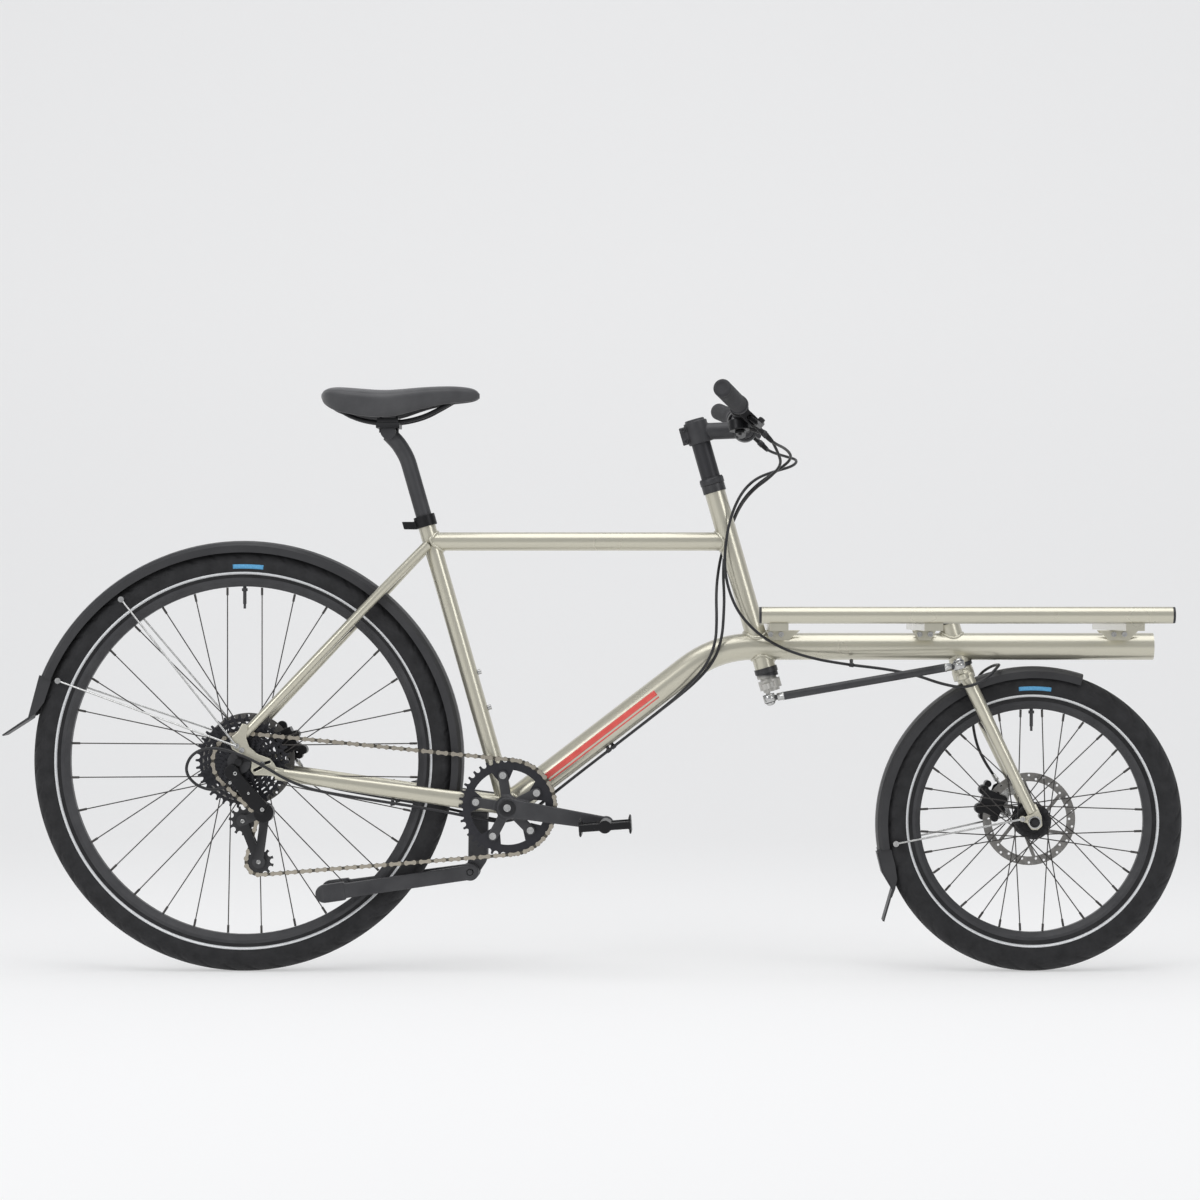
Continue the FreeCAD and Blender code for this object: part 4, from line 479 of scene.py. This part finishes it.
# ---- Saddle ----
SADDLE_SECTIONS = (  # x, half width, top, lower edge, in mm
    (-464, 26, 989, 981), (-458, 50, 997, 970), (-440, 67, 1001.5, 958), (-400, 72, 998.5, 949),
    (-360, 66, 995.5, 946), (-330, 54, 997.5, 950), (-300, 40, 1000.5, 960), (-270, 30, 1002.5, 968),
    (-240, 24, 1003, 973), (-215, 19, 1001, 975), (-201, 14, 997, 978), (-195, 7, 990, 982))


def saddle_loop(x, half, top, low):
    """One cross section: a crowned top, two side wings and a hollow underside."""
    waist = top - 0.40 * (top - low)
    loop = []
    for a in np.radians(np.linspace(-90, 90, 41)):
        seam = 0.9 if 60 < abs(math.degrees(a)) < 66 else 0.0
        y = math.copysign(abs(math.sin(a)) ** 0.82, a) * (half - seam)
        on_crown = abs(a) < 1.57
        loop.append((x, y, waist + (top - waist) * math.cos(a) ** 0.9 - seam * 0.4 if on_crown else waist))
    under, least_width = max(low + 2.0, top - 17), 0.6
    wing = [(half - 0.6, waist - 0.5 * (waist - low)), (half - 3.0, low + 0.8), (half - 5.0, low),
            (half - 7.0, low + 1.4), (half - 9.0, min(under, waist))]
    loop += [(x, max(y, least_width), z) for y, z in wing]
    loop += [(x, y * max(half - 12, 0.5), under) for y in (1, 0.5, 0, -0.5, -1)]
    loop += [(x, -max(y, least_width), z) for y, z in reversed(wing)]
    return loop


def saddle():
    """The saddle's padded shell, through its cross sections."""
    keys = np.array(SADDLE_SECTIONS)
    for _ in range(3):
        keys = np.vstack([keys[:1], cut_corners(keys), keys[-1:]])
    loops = [saddle_loop(*row) for row in keys]
    verts = [Vector(p) * MM for loop in loops for p in loop]
    sides = len(loops[0])
    faces = grid_faces(len(loops), sides, False, True) + end_caps(sides, len(loops))
    obj = piece("saddle_pad", verts, faces, COVER, "seatpost")
    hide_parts("saddle")


saddle()


# ---- Tubes along a smooth path ----
def smooth_route(points):
    """A smooth curve near the points that keeps the two ends."""
    path = np.array(points, float)
    for _ in range(4):
        path = np.vstack([path[:1], cut_corners(path)[1:-1], path[-1:]])
    return path


def sweep(path, radii, sides=14, closed=False):
    """Points and faces of a round tube along a path, with a radius at each point."""
    count = len(path)
    ahead = np.roll(path, -1, 0) - np.roll(path, 1, 0)
    if not closed:
        ahead[0], ahead[-1] = path[1] - path[0], path[-1] - path[-2]
    ahead /= np.linalg.norm(ahead, axis=1)[:, None]
    normal = np.cross(ahead[0], (0.31, 0.83, 0.46))
    verts = []
    for i in range(count):
        normal = normal - ahead[i] * (normal @ ahead[i])
        normal /= np.linalg.norm(normal)
        side = np.cross(ahead[i], normal)
        for k in range(sides):
            a = 2 * math.pi * k / sides
            verts.append(path[i] + radii[i] * (normal * math.cos(a) + side * math.sin(a)))
    faces = grid_faces(count, sides, closed, True)
    if not closed:
        faces += end_caps(sides, count)
    return verts, faces


HOUSING_RADIUS = 0.0025


def housing(name, points, node, joined=None):
    """A cable housing. Given a joined pair of bodies and two end points, it is left loose in the world
    instead of riding on the frame.
    """
    path = smooth_route(points) * MM
    verts, faces = sweep(path, [HOUSING_RADIUS] * len(path))
    obj = mesh_object(name, verts, faces, CABLE)
    if joined:
        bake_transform(obj)
    else:
        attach(obj, "frame")
    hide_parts(node)


# ---- Cable housings: points given in mm, from one end fitting to the other ----
FRONT_BRAKE_REAR_HALF = (
    (289.9, 162.9, 913.4), (305.6, 160.3, 898.2), (334, 108, 887), (354, 84, 880), (345, 54, 868),
    (312, 28, 858), (279, 2, 845), (254, -20, 820), (236, -27, 780), (227, -27, 735), (225, -26, 690),
    (233, -27, 650), (250, -30, 612), (284, -35, 576), (330, -37, 550), (384, -34, 534), (442, -31, 525))
FRONT_BRAKE_FORK_HALF = (
    (442, -31, 525), (502, -31, 518), (552, -38, 508), (594, -58, 493), (634, -73, 486), (670, -64, 502),
    (692, -38, 523), (697, -6, 526), (684, 24, 522), (665, 50, 506), (655, 67, 474), (656, 74, 430),
    (664, 78, 386), (678, 78, 356), (694, 78, 332))
REAR_BRAKE_ROUTE = (
    (289.9, -162.9, 913.4), (305.6, -160.3, 898.2), (330, -104, 890), (340, -76, 876), (318, -44, 858),
    (283, -10, 836), (256, 14, 808), (238, 25, 770), (226, 26, 726), (223, 16, 682), (225, 0, 644),
    (224, -20, 612), (221, -31, 572), (208, -27, 532), (178, -9, 497), (132, -4, 459), (-62, -4, 310),
    (-104, 4, 273), (-144, 16, 255), (-184, 31, 260), (-226, 40, 270), (-276, 47, 280), (-430, 62, 305),
    (-470, 71, 314), (-496, 85, 328), (-512, 92, 348))
SHIFT_ROUTE = (
    (279.5, -146.2, 920.2), (297.5, -140.2, 914.2), (314, -108, 886), (322, -76, 866), (304, -40, 846),
    (275, -2, 826), (252, 25, 798), (236, 34, 760), (220, 33, 716), (213, 18, 674), (211, -5, 640),
    (212, -27, 604), (210, -38, 562), (193, -35, 522), (162, -19, 488), (120, -12, 450), (-66, -12, 307),
    (-110, -19, 270), (-148, -28, 256), (-188, -34, 261), (-228, -40, 270), (-276, -47, 280),
    (-430, -62, 305), (-478, -73, 315), (-518, -86, 332), (-558, -95, 358), (-602, -99, 379),
    (-645, -98, 388), (-676, -96, 376), (-688, -94, 348), (-672, -91, 324), (-643, -89, 313),
    (-618, -88, 320))
STEERING_BEND = ("handlebar", "frame", (0.26, 0, 0.87), (0.23, 0, 0.65))
FORK_BEND = ("frame", "fork", (0.50, 0, 0.52), (0.65, 0, 0.49))
housing("front_brake_housing_rear", FRONT_BRAKE_REAR_HALF, "front_brake_cable", STEERING_BEND)
housing("front_brake_housing_fork", FRONT_BRAKE_FORK_HALF, "front_brake_cable", FORK_BEND)
housing("rear_brake_housing", REAR_BRAKE_ROUTE, "rear_brake_cable", STEERING_BEND)
housing("shift_housing", SHIFT_ROUTE, "shift_cable", STEERING_BEND)


# ---- Turned parts ----
def turned(name, start, axis, profile, mat, body, sides=40):
    """A solid of revolution: profile holds (distance along the axis, radius) in mm."""
    start, axis = np.array(start, float), np.array(axis, float)
    axis /= np.linalg.norm(axis)
    across = np.cross(axis, (0.3, 0.2, 0.93))
    across /= np.linalg.norm(across)
    third = np.cross(axis, across)
    verts = []
    for along, radius in profile:
        for k in range(sides):
            a = 2 * math.pi * k / sides
            outward = across * math.cos(a) + third * math.sin(a)
            verts.append((start + axis * along + radius * outward) * MM)
    faces = grid_faces(len(profile), sides, False, True) + end_caps(sides, len(profile))
    return piece(name, verts, faces, mat, body)


def grips():
    """Ribbed sleeves with a collar inside and a domed end."""
    length, ribs, pitch = 124.5, 22, 5.2
    collar = [(-10, 11.3), (-10, 15.4), (-9.4, 16), (-0.6, 16), (0, 15.4), (0.3, 13.6)]
    rib = [(3, 13.9), (3.8, 14.9), (6.4, 14.9), (7.2, 13.9)]
    end = [(-4, 15), (-0.5, 15), (1.2, 14), (2.2, 12), (2.4, 9.6), (1.8, 9.2), (1.8, 0.2)]
    profile = collar + [(x + k * pitch, radius) for k in range(ribs) for x, radius in rib]
    profile += [(length + x, radius) for x, radius in end]
    for side, label in SIDES:
        inner, outer = np.array((245.6, side * 220.0, 959.7)), np.array((218.5, side * 340.0, 978.5))
        grip = turned(f"grip_{label}", inner, outer - inner, profile, GRIP_RUBBER, "handlebar")
        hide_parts("grips")


grips()


# ---- Cast and forged parts: rounded copies of the plain shapes ----
def add_bosses(mesh, to_local, bosses):
    """Adds round lobes that run across the bicycle: each is (x, z, radius, low y, high y) in mm."""
    turn = Matrix.Rotation(math.pi / 2, 4, "X")
    work = bmesh.new()
    work.from_mesh(mesh)
    for x, z, radius, low, high in bosses:
        place = Matrix.Translation(Vector((x, (low + high) / 2, z)) * MM) @ turn
        bmesh.ops.create_cone(work, cap_ends=True, segments=32, radius1=radius * MM, radius2=radius * MM,
                              depth=(high - low) * MM, matrix=to_local @ place)
    work.to_mesh(mesh)
    work.free()


def cast(node, voxel, rounds, mat, bosses=()):
    """A rounded copy of a plain part, for one that is cast or forged. The voxel is in mm."""
    source = nodes[node]
    copy = source.copy()
    copy.data = source.data.copy()
    bpy.context.scene.collection.objects.link(copy)
    copy.parent = None
    copy.matrix_world = source.matrix_world.copy()
    add_bosses(copy.data, source.matrix_world.inverted(), bosses)
    remesh = copy.modifiers.new("remesh", "REMESH")
    remesh.mode, remesh.voxel_size = "VOXEL", voxel * MM
    smooth = copy.modifiers.new("smooth", "SMOOTH")
    smooth.factor, smooth.iterations = 0.5, rounds
    bpy.context.view_layer.update()
    evaluated = copy.evaluated_get(bpy.context.evaluated_depsgraph_get())
    result = bpy.data.meshes.new_from_object(evaluated)
    result.transform(copy.matrix_world)
    bpy.data.objects.remove(copy)
    verts = [tuple(v.co) for v in result.vertices]
    faces = [tuple(p.vertices) for p in result.polygons]
    obj = piece(f"{node}_cast", verts, faces, mat, source["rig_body"])
    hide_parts(node)


# Lobes that give a casting its shape: x, z, radius, low y and high y, in mm.
STEM_LOBES = ((282, 937.5, 4.6, -18, 18), (284, 917, 4.2, -18, 18))
FRONT_CALIPER_LOBES = ((674, 308, 8.5, 31.5, 39), (674, 308, 8.5, 45, 70), (682, 318, 6, 46, 76),
                       (667, 276, 9, 32, 39), (667, 276, 9, 45, 64), (672, 262, 6, 45, 74),
                       (692, 260, 7, 33, 39), (692, 260, 7, 45, 60), (708, 292, 6.5, 33, 39),
                       (706, 274, 5, 34, 39))
REAR_CALIPER_LOBES = ((-541, 418, 9, 56, 66), (-553, 410, 7, 56, 64), (-513, 381.5, 7.5, 45, 72),
                      (-504, 377, 8, 45, 74), (-511, 367, 6, 56, 76), (-516, 404, 7, 43, 70))
CAST_PARTS = (  # node, voxel in mm, rounds of smoothing, material and, on some, lobes
    ("crank_arms", 1.3, 7, MATT_BLACK),
    ("stem", 1.0, 4, MATT_BLACK, STEM_LOBES),
    ("bar_controls", 1.0, 4, BLACK),
    ("right_brake_lever", 0.8, 5, BLACK),
    ("left_brake_lever", 0.8, 5, BLACK),
    ("shift_lever", 0.7, 4, BLACK),
    ("rear_derailleur", 1.0, 4, BLACK),
    ("front_brake_caliper", 1.0, 4, BLACK, FRONT_CALIPER_LOBES),
    ("rear_brake_caliper", 1.0, 4, BLACK, REAR_CALIPER_LOBES),
    ("kickstand_legs", 1.4, 6, MATT_BLACK),
    ("kickstand_mount", 1.4, 6, MATT_BLACK),
    ("right_pedal", 0.9, 2, BLACK),
    ("left_pedal", 0.9, 2, BLACK),
    ("seat_collar", 0.9, 3, BLACK),
    ("rear_dropouts", 1.0, 4, FRAME_PAINT),
    ("rack_brackets", 1.0, 3, FRAME_PAINT),
    ("fork", 1.2, 6, FRAME_PAINT))
for part in CAST_PARTS:
    cast(*part)


# ---- Brazed joints ----
FORWARD, ACROSS = np.array((1.0, 0, 0)), np.array((0, 1.0, 0))


def upright(degrees):
    """A direction in the bicycle's middle plane, at an angle above level."""
    return np.array((math.cos(math.radians(degrees)), 0, math.sin(math.radians(degrees))))


SEAT_AXIS = upright(74) * (-1, 1, 1)
SLOPE = upright(37.5)
SEAT_FOOT, BB = np.array((-148.0, 0, 283)), np.array((-144.0, 0, 283))
COLUMN_FOOT, FORK_COLUMN_FOOT = np.array((277.4, 0, 583)), np.array((614.2, 0, 583))
BOOM_MIDDLE = np.array((400.0, 0, 556.4))
TOP_TUBE_REAR, TOP_TUBE_FRONT = np.array((-150.0, 0, 736.5)), np.array((100.0, 0, 736.5))
SEAT_TUBE, TOP_TUBE, COLUMN_SHELL, CRANK_SHELL, BOOM = 15.0, 15.9, 18.0, 21.0, 23.25  # radii in mm


def braze(name, start, run, radius, other, other_run, other_radius, bead=3.0):
    """A smooth bead round the joint where one tube runs into the side of another."""
    steps, ripple = 72, 0.25
    run, other_run = run / np.linalg.norm(run), other_run / np.linalg.norm(other_run)
    u = np.cross(run, ACROSS) if abs(run[1]) < 0.9 else np.cross(run, FORWARD)
    u /= np.linalg.norm(u)
    v = np.cross(run, u)
    step = run - other_run * (run @ other_run)
    path = []
    for k in range(steps):  # each line along the first tube meets the other tube's surface
        a = 2 * math.pi * k / steps
        p = start + radius * (u * math.cos(a) + v * math.sin(a))
        w = (p - other) - other_run * ((p - other) @ other_run)
        half_b, square = w @ step, step @ step
        gap = half_b * half_b - square * (w @ w - other_radius ** 2)
        path.append(p + run * ((-half_b - math.sqrt(max(gap, 0.0))) / square))
    radii = [(bead + ripple * math.sin(k * 1.9)) * MM for k in range(steps)]
    verts, faces = sweep(np.array(path) * MM, radii, 12, True)
    piece(name, verts, faces, FRAME_PAINT, "frame")


braze("braze_top_tube_rear", TOP_TUBE_REAR, -FORWARD, TOP_TUBE, SEAT_FOOT, SEAT_AXIS, SEAT_TUBE)
braze("braze_top_tube_front", TOP_TUBE_FRONT, FORWARD, TOP_TUBE, COLUMN_FOOT, SEAT_AXIS, COLUMN_SHELL)
braze("braze_seat_tube_foot", SEAT_FOOT + SEAT_AXIS * 120, -SEAT_AXIS, SEAT_TUBE, BB, ACROSS, CRANK_SHELL)
braze("braze_sloped_tube_foot", BB + SLOPE * 120, -SLOPE, BOOM, BB, ACROSS, CRANK_SHELL)
COLUMN_JOINTS = (  # name, where the column comes in from, its run towards the boom, and the bead
    ("braze_column_above", COLUMN_FOOT + SEAT_AXIS * 120, -SEAT_AXIS, 3.6),
    ("braze_column_below", COLUMN_FOOT - SEAT_AXIS * 120, SEAT_AXIS, 3.0),
    ("braze_fork_column_above", FORK_COLUMN_FOOT + SEAT_AXIS * 60, -SEAT_AXIS, 2.4))
for name, start, run, bead in COLUMN_JOINTS:
    braze(name, start, run, COLUMN_SHELL, BOOM_MIDDLE, FORWARD, BOOM, bead)


# ---- Plain stripes on the sloped tube ----
def stripe(name, width, lift):
    """A thin painted stripe along both sides of the sloped tube, above or below its widest line."""
    low_end, high_end, steps, strips = 70, 318, 40, 6
    normal = np.array((-SLOPE[2], 0, SLOPE[0]))
    outside = [(BOOM + 0.2, k) for k in range(strips + 1)]
    inside = [(BOOM - 0.25, k) for k in range(strips + 1)]
    section = outside + inside[::-1]
    verts, faces = [], []
    for side in (-1, 1):
        offset = len(verts)
        for i in range(steps + 1):
            foot = BB + SLOPE * (low_end + (high_end - low_end) * i / steps)
            for r, k in section:
                a = (lift + width * (k / strips - 0.5)) / BOOM
                verts.append((foot + r * (normal * math.sin(a) + ACROSS * side * math.cos(a))) * MM)
        faces += grid_faces(steps + 1, len(section), False, True, offset)
        faces += flat_loops(len(section), (0, steps), offset)
    piece(name, verts, faces, RED, "frame")


stripe("wide_stripe", 10.0, 1.5)
stripe("narrow_stripe", 2.4, -8.0)


# ---- Cable clips ----
def clip(name, place, along, reach):
    """A small band round a cable housing with a foot towards its tube."""
    length = 8
    along = np.array(along, float)
    start = np.array(place, float) - along / np.linalg.norm(along) * length / 2
    band = [(0, 3.0), (0.5, 3.7), (length - 0.5, 3.7), (length, 3.0)]
    foot = [(2.6, 2.6), (np.linalg.norm(reach), 3.2)]
    turned(name, start, along, band, BLACK, "frame", 20)
    turned(f"{name}_foot", place, reach, foot, BLACK, "frame", 12)


clip("clip_rear_brake_slope", (35, -4, 384.5), (97, 0, 74.5), (-4, 2, 7))
clip("clip_shift_slope", (27, -12, 378.5), (93, 0, 71.5), (-3, 4, 7))
clip("clip_boom", (442, -31, 525), (60, 0, -7), (0, 8, 8))
clip("clip_stay_shift", (-340, -53, 289.5), (77, 7, 13), (0, 4, 9))
clip("clip_stay_brake", (-340, 53, 289.5), (77, -7, 13), (0, -4, 9))


# ---- Small fittings ----
def ring(name, place, axis, profile, mat, body):
    """A turned ring, open through its middle: a turned solid without its two end faces."""
    obj = turned(name, place, axis, profile + profile[:1], mat, body, 36)
    work = bmesh.new()
    work.from_mesh(obj.data)
    bmesh.ops.delete(work, geom=[f for f in work.faces if len(f.verts) > 4], context="FACES_ONLY")
    bmesh.ops.remove_doubles(work, verts=work.verts, dist=1e-6)
    work.to_mesh(obj.data)
    work.free()


CRANK_FACE, FORK_FACE = 70.5, 61.6  # how far out each face lies from the bicycle's middle
FRONT_AXLE_X, FRONT_AXLE_Z = 752, 258
COLLAR = [(0, 14.5), (1.6, 14.5), (2.2, 13.6), (2.2, 7.2), (1.5, 6.2), (0, 6.2)]
WASHER = [(0, 11), (1.2, 11), (1.8, 10.2), (1.8, 7.2), (0, 7.2)]
for side, label in SIDES:
    ring(f"crank_collar_{label}", BB + ACROSS * side * CRANK_FACE, (0, side, 0), COLLAR, BLACK, "crank")
    ring(f"front_nut_washer_{label}", (FRONT_AXLE_X, side * FORK_FACE, FRONT_AXLE_Z), (0, side, 0), WASHER,
         STEEL, "fork")

ADJUSTER = [(-2, 2.6), (-1.5, 3.6), (6, 3.6), (6.2, 4.4), (11, 4.4), (11.4, 2.4)]
COLUMN_CAP = [(0, 20.2), (1.0, 20.9), (9.5, 20.9), (11.5, 19.2), (12.6, 16.4)]
turned("front_brake_adjuster", FRONT_BRAKE_FORK_HALF[-1], (16, 0, -24), ADJUSTER + [(22, 2.4)], STEEL, "fork",
       24)
turned("rear_brake_adjuster", REAR_BRAKE_ROUTE[-1], (-16, 7, 20), ADJUSTER + [(20, 2.4)], STEEL, "frame",
       24)
turned("column_trim", COLUMN_FOOT + SEAT_AXIS * 261.6, SEAT_AXIS, COLUMN_CAP, MATT_BLACK, "handlebar")


# ---- The tie rod's ends: a bright eye, a cap over the stud, and a collar where the tube starts ----
REAR_BALL, FRONT_BALL = np.array((300.6, -90.0, 469.5)), np.array((621.3, -90.0, 525.5))
ROD_RUN = (FRONT_BALL - REAR_BALL) / np.linalg.norm(FRONT_BALL - REAR_BALL)
EYE = [(0, 9.2), (0.8, 10.4), (12.8, 10.4), (13.6, 9.2)]
STUD_CAP = [(0, 7.6), (0.8, 8.2), (3.0, 7.6), (5.0, 5.4), (6.0, 2.2)]
ROD_COLLAR = [(0, 5.2), (0.6, 6.6), (8.4, 6.6), (9.4, 7.3), (12, 7.3)]
for label, ball, inward, outward in (("rear", REAR_BALL, ROD_RUN, -SEAT_AXIS),
                                     ("front", FRONT_BALL, -ROD_RUN, SEAT_AXIS)):
    turned(f"tie_rod_eye_{label}", ball - SEAT_AXIS * 6.8, SEAT_AXIS, EYE, STEEL, "tie_rod")
    turned(f"tie_rod_cap_{label}", ball + outward * 6.6, outward, STUD_CAP, STEEL, "tie_rod", 28)
    turned(f"tie_rod_collar_{label}", ball + inward * 13, inward, ROD_COLLAR, STEEL, "tie_rod", 28)


# ---- Barrels where the housings meet their levers ----
for label, route, length in (("front_brake", FRONT_BRAKE_REAR_HALF, 20), ("rear_brake", REAR_BRAKE_ROUTE, 20),
                             ("shift", SHIFT_ROUTE, 17)):
    barrel = [(-3, 4.2), (-2.2, 5.4), (6, 5.4), (6.6, 4.6), (length * 0.7, 4.2), (length - 1, 3.4),
              (length, 2.7)]
    turned(f"{label}_barrel", route[0], np.array(route[1]) - np.array(route[0]), barrel, BLACK, "handlebar",
           24)


# ---- Flat plates: the sides of the mudguard flaps and the front caliper's bracket ----
def leaf(name, outline, low, high, mat, body):
    """A flat plate: an outline of (x, z) points in mm, between two distances across the bicycle."""
    count = len(outline)
    verts = [Vector((x, y, z)) * MM for y in (low, high) for x, z in outline]
    faces = [(k, (k + 1) % count, count + (k + 1) % count, count + k) for k in range(count)]
    piece(name, verts, faces + end_caps(count, 2), mat, body, smooth=False)


FRONT_FLAP_SIDE = ((487.4, 210), (488.4, 204.5), (497, 171), (508, 152), (512.5, 141.8), (510, 131),
                   (511, 126.5), (517, 142), (520.3, 159.3), (517, 183), (511.7, 203), (510.6, 209))
REAR_FLAP_SIDE = ((-946, 507.5), (-947.5, 502), (-956, 470), (-965, 436), (-958, 437.5), (-948, 447),
                  (-938, 461), (-931.5, 480), (-926, 497), (-924.4, 502.5))
FLAP_INNER_FACE, FLAP_OUTER_FACE = 25.0, 26.6
CALIPER_BRACKET = ((722, 318), (711, 321), (703, 309), (699, 288), (703, 266), (713, 259), (722, 266),
                   (716, 282), (719, 298), (730, 300))
for side, label in SIDES:
    low, high = sorted((side * FLAP_INNER_FACE, side * FLAP_OUTER_FACE))
    leaf(f"front_flap_side_{label}", FRONT_FLAP_SIDE, low, high, PLASTIC,
         nodes["front_mudguard"]["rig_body"])
    leaf(f"rear_flap_side_{label}", REAR_FLAP_SIDE, low, high, PLASTIC, "frame")
leaf("front_caliper_bracket", CALIPER_BRACKET, 48.0, 53.0, STEEL, "fork")


# ---- Bright bolts: their heads face the right side ----
RIGHTWARD = (0, -1, 0)
BRACKET_BOLT = [(-1, 4.2), (5.5, 4.2), (8.5, 4.0), (9, 3.2), (9, 0.6)]
for label, place in (("upper", (716, 53, 312)), ("lower", (713, 53, 266))):
    turned(f"front_caliper_bolt_{label}", place, RIGHTWARD, BRACKET_BOLT, STEEL, "fork", 24)

DERAILLEUR_BOLTS = (  # name, place, radius and the body that carries it
    ("link_upper", (-602.5, -92, 342.5), 3.6, "frame"),
    ("link_lower", (-557, -92, 281.5), 3.6, "frame"),
    ("link_middle", (-580, -92, 309), 2.4, "frame"),
    ("cable_anchor", (-611, -93, 327), 3.0, "frame"),
    ("upper_jockey", (-594.6, -55, 260.0), 3.8, "cage"),
    ("lower_jockey", (-567.6, -55, 190.3), 3.8, "cage"))
for label, place, radius, body in DERAILLEUR_BOLTS:
    head = [(-1, radius), (1.6, radius), (2.2, radius - 0.6), (2.2, radius * 0.48), (0.8, radius * 0.46)]
    turned(f"derailleur_bolt_{label}", place, RIGHTWARD, head, STEEL, body, 24)


# ---- Floor, light and camera ----
def backdrop():
    """A pale sweep that rises behind the bicycle."""
    front, back, height, bend, half_width = -9.0, 5.0, 6.0, 1.6, 30.0
    profile = [(front, 0.0), (back - bend, 0.0)]
    for degrees in range(6, 91, 6):
        a = math.radians(degrees)
        profile.append((back - bend + bend * math.sin(a), bend - bend * math.cos(a)))
    profile.append((back, height))
    verts = [(x, y, z) for y, z in profile for x in (-half_width, half_width)]
    faces = [(2 * i, 2 * i + 1, 2 * i + 3, 2 * i + 2) for i in range(len(profile) - 1)]
    pale = material("studio_pale", (0.52, 0.52, 0.52), 0.95, specular=0.0)
    glow = pale.node_tree.nodes["Principled BSDF"].inputs
    glow["Emission Color"].default_value = (1, 1, 1, 1)
    glow["Emission Strength"].default_value = 0.42
    floor = mesh_object("studio_sweep", verts, faces, pale)


def soft_light(name, place, target, size, power):
    """A round area light aimed at a point."""
    data = bpy.data.lights.new(name, "AREA")
    data.shape, data.size, data.energy = "DISK", size, power
    light = bpy.data.objects.new(name, data)
    light.location = place
    light.rotation_euler = (Vector(target) - Vector(place)).to_track_quat("-Z", "Y").to_euler()
    bpy.context.scene.collection.objects.link(light)


def daylight():
    """A faint, even light from all round."""
    world = bpy.data.worlds.new("studio_world")
    world.use_nodes = True
    background = world.node_tree.nodes["Background"].inputs
    background["Color"].default_value = (0.93, 0.95, 1.0, 1)
    background["Strength"].default_value = 0.42
    bpy.context.scene.world = world


def side_camera():
    """A long lens that looks level at the bicycle's right side."""
    data = bpy.data.cameras.new("camera")
    data.lens, data.sensor_width = 104.86, 36.0
    data.shift_x, data.shift_y = -0.075, 0.0083
    camera = bpy.data.objects.new("camera", data)
    camera.location = (0.1662, -6.0, 0.619)
    camera.rotation_euler = (math.radians(90), 0, 0)
    bpy.context.scene.collection.objects.link(camera)
    bpy.context.scene.camera = camera


backdrop()
soft_light("overhead", (0.1, -0.8, 4.2), (0.1, 0, 0.3), 4.5, 95)
soft_light("front_left", (-3.4, -4.2, 2.6), (0, 0, 0.5), 2.6, 60)
soft_light("front_right", (3.8, -3.8, 2.2), (0.2, 0, 0.4), 2.2, 34)
daylight()
side_camera()
bpy.context.scene.view_settings.view_transform = "Standard"
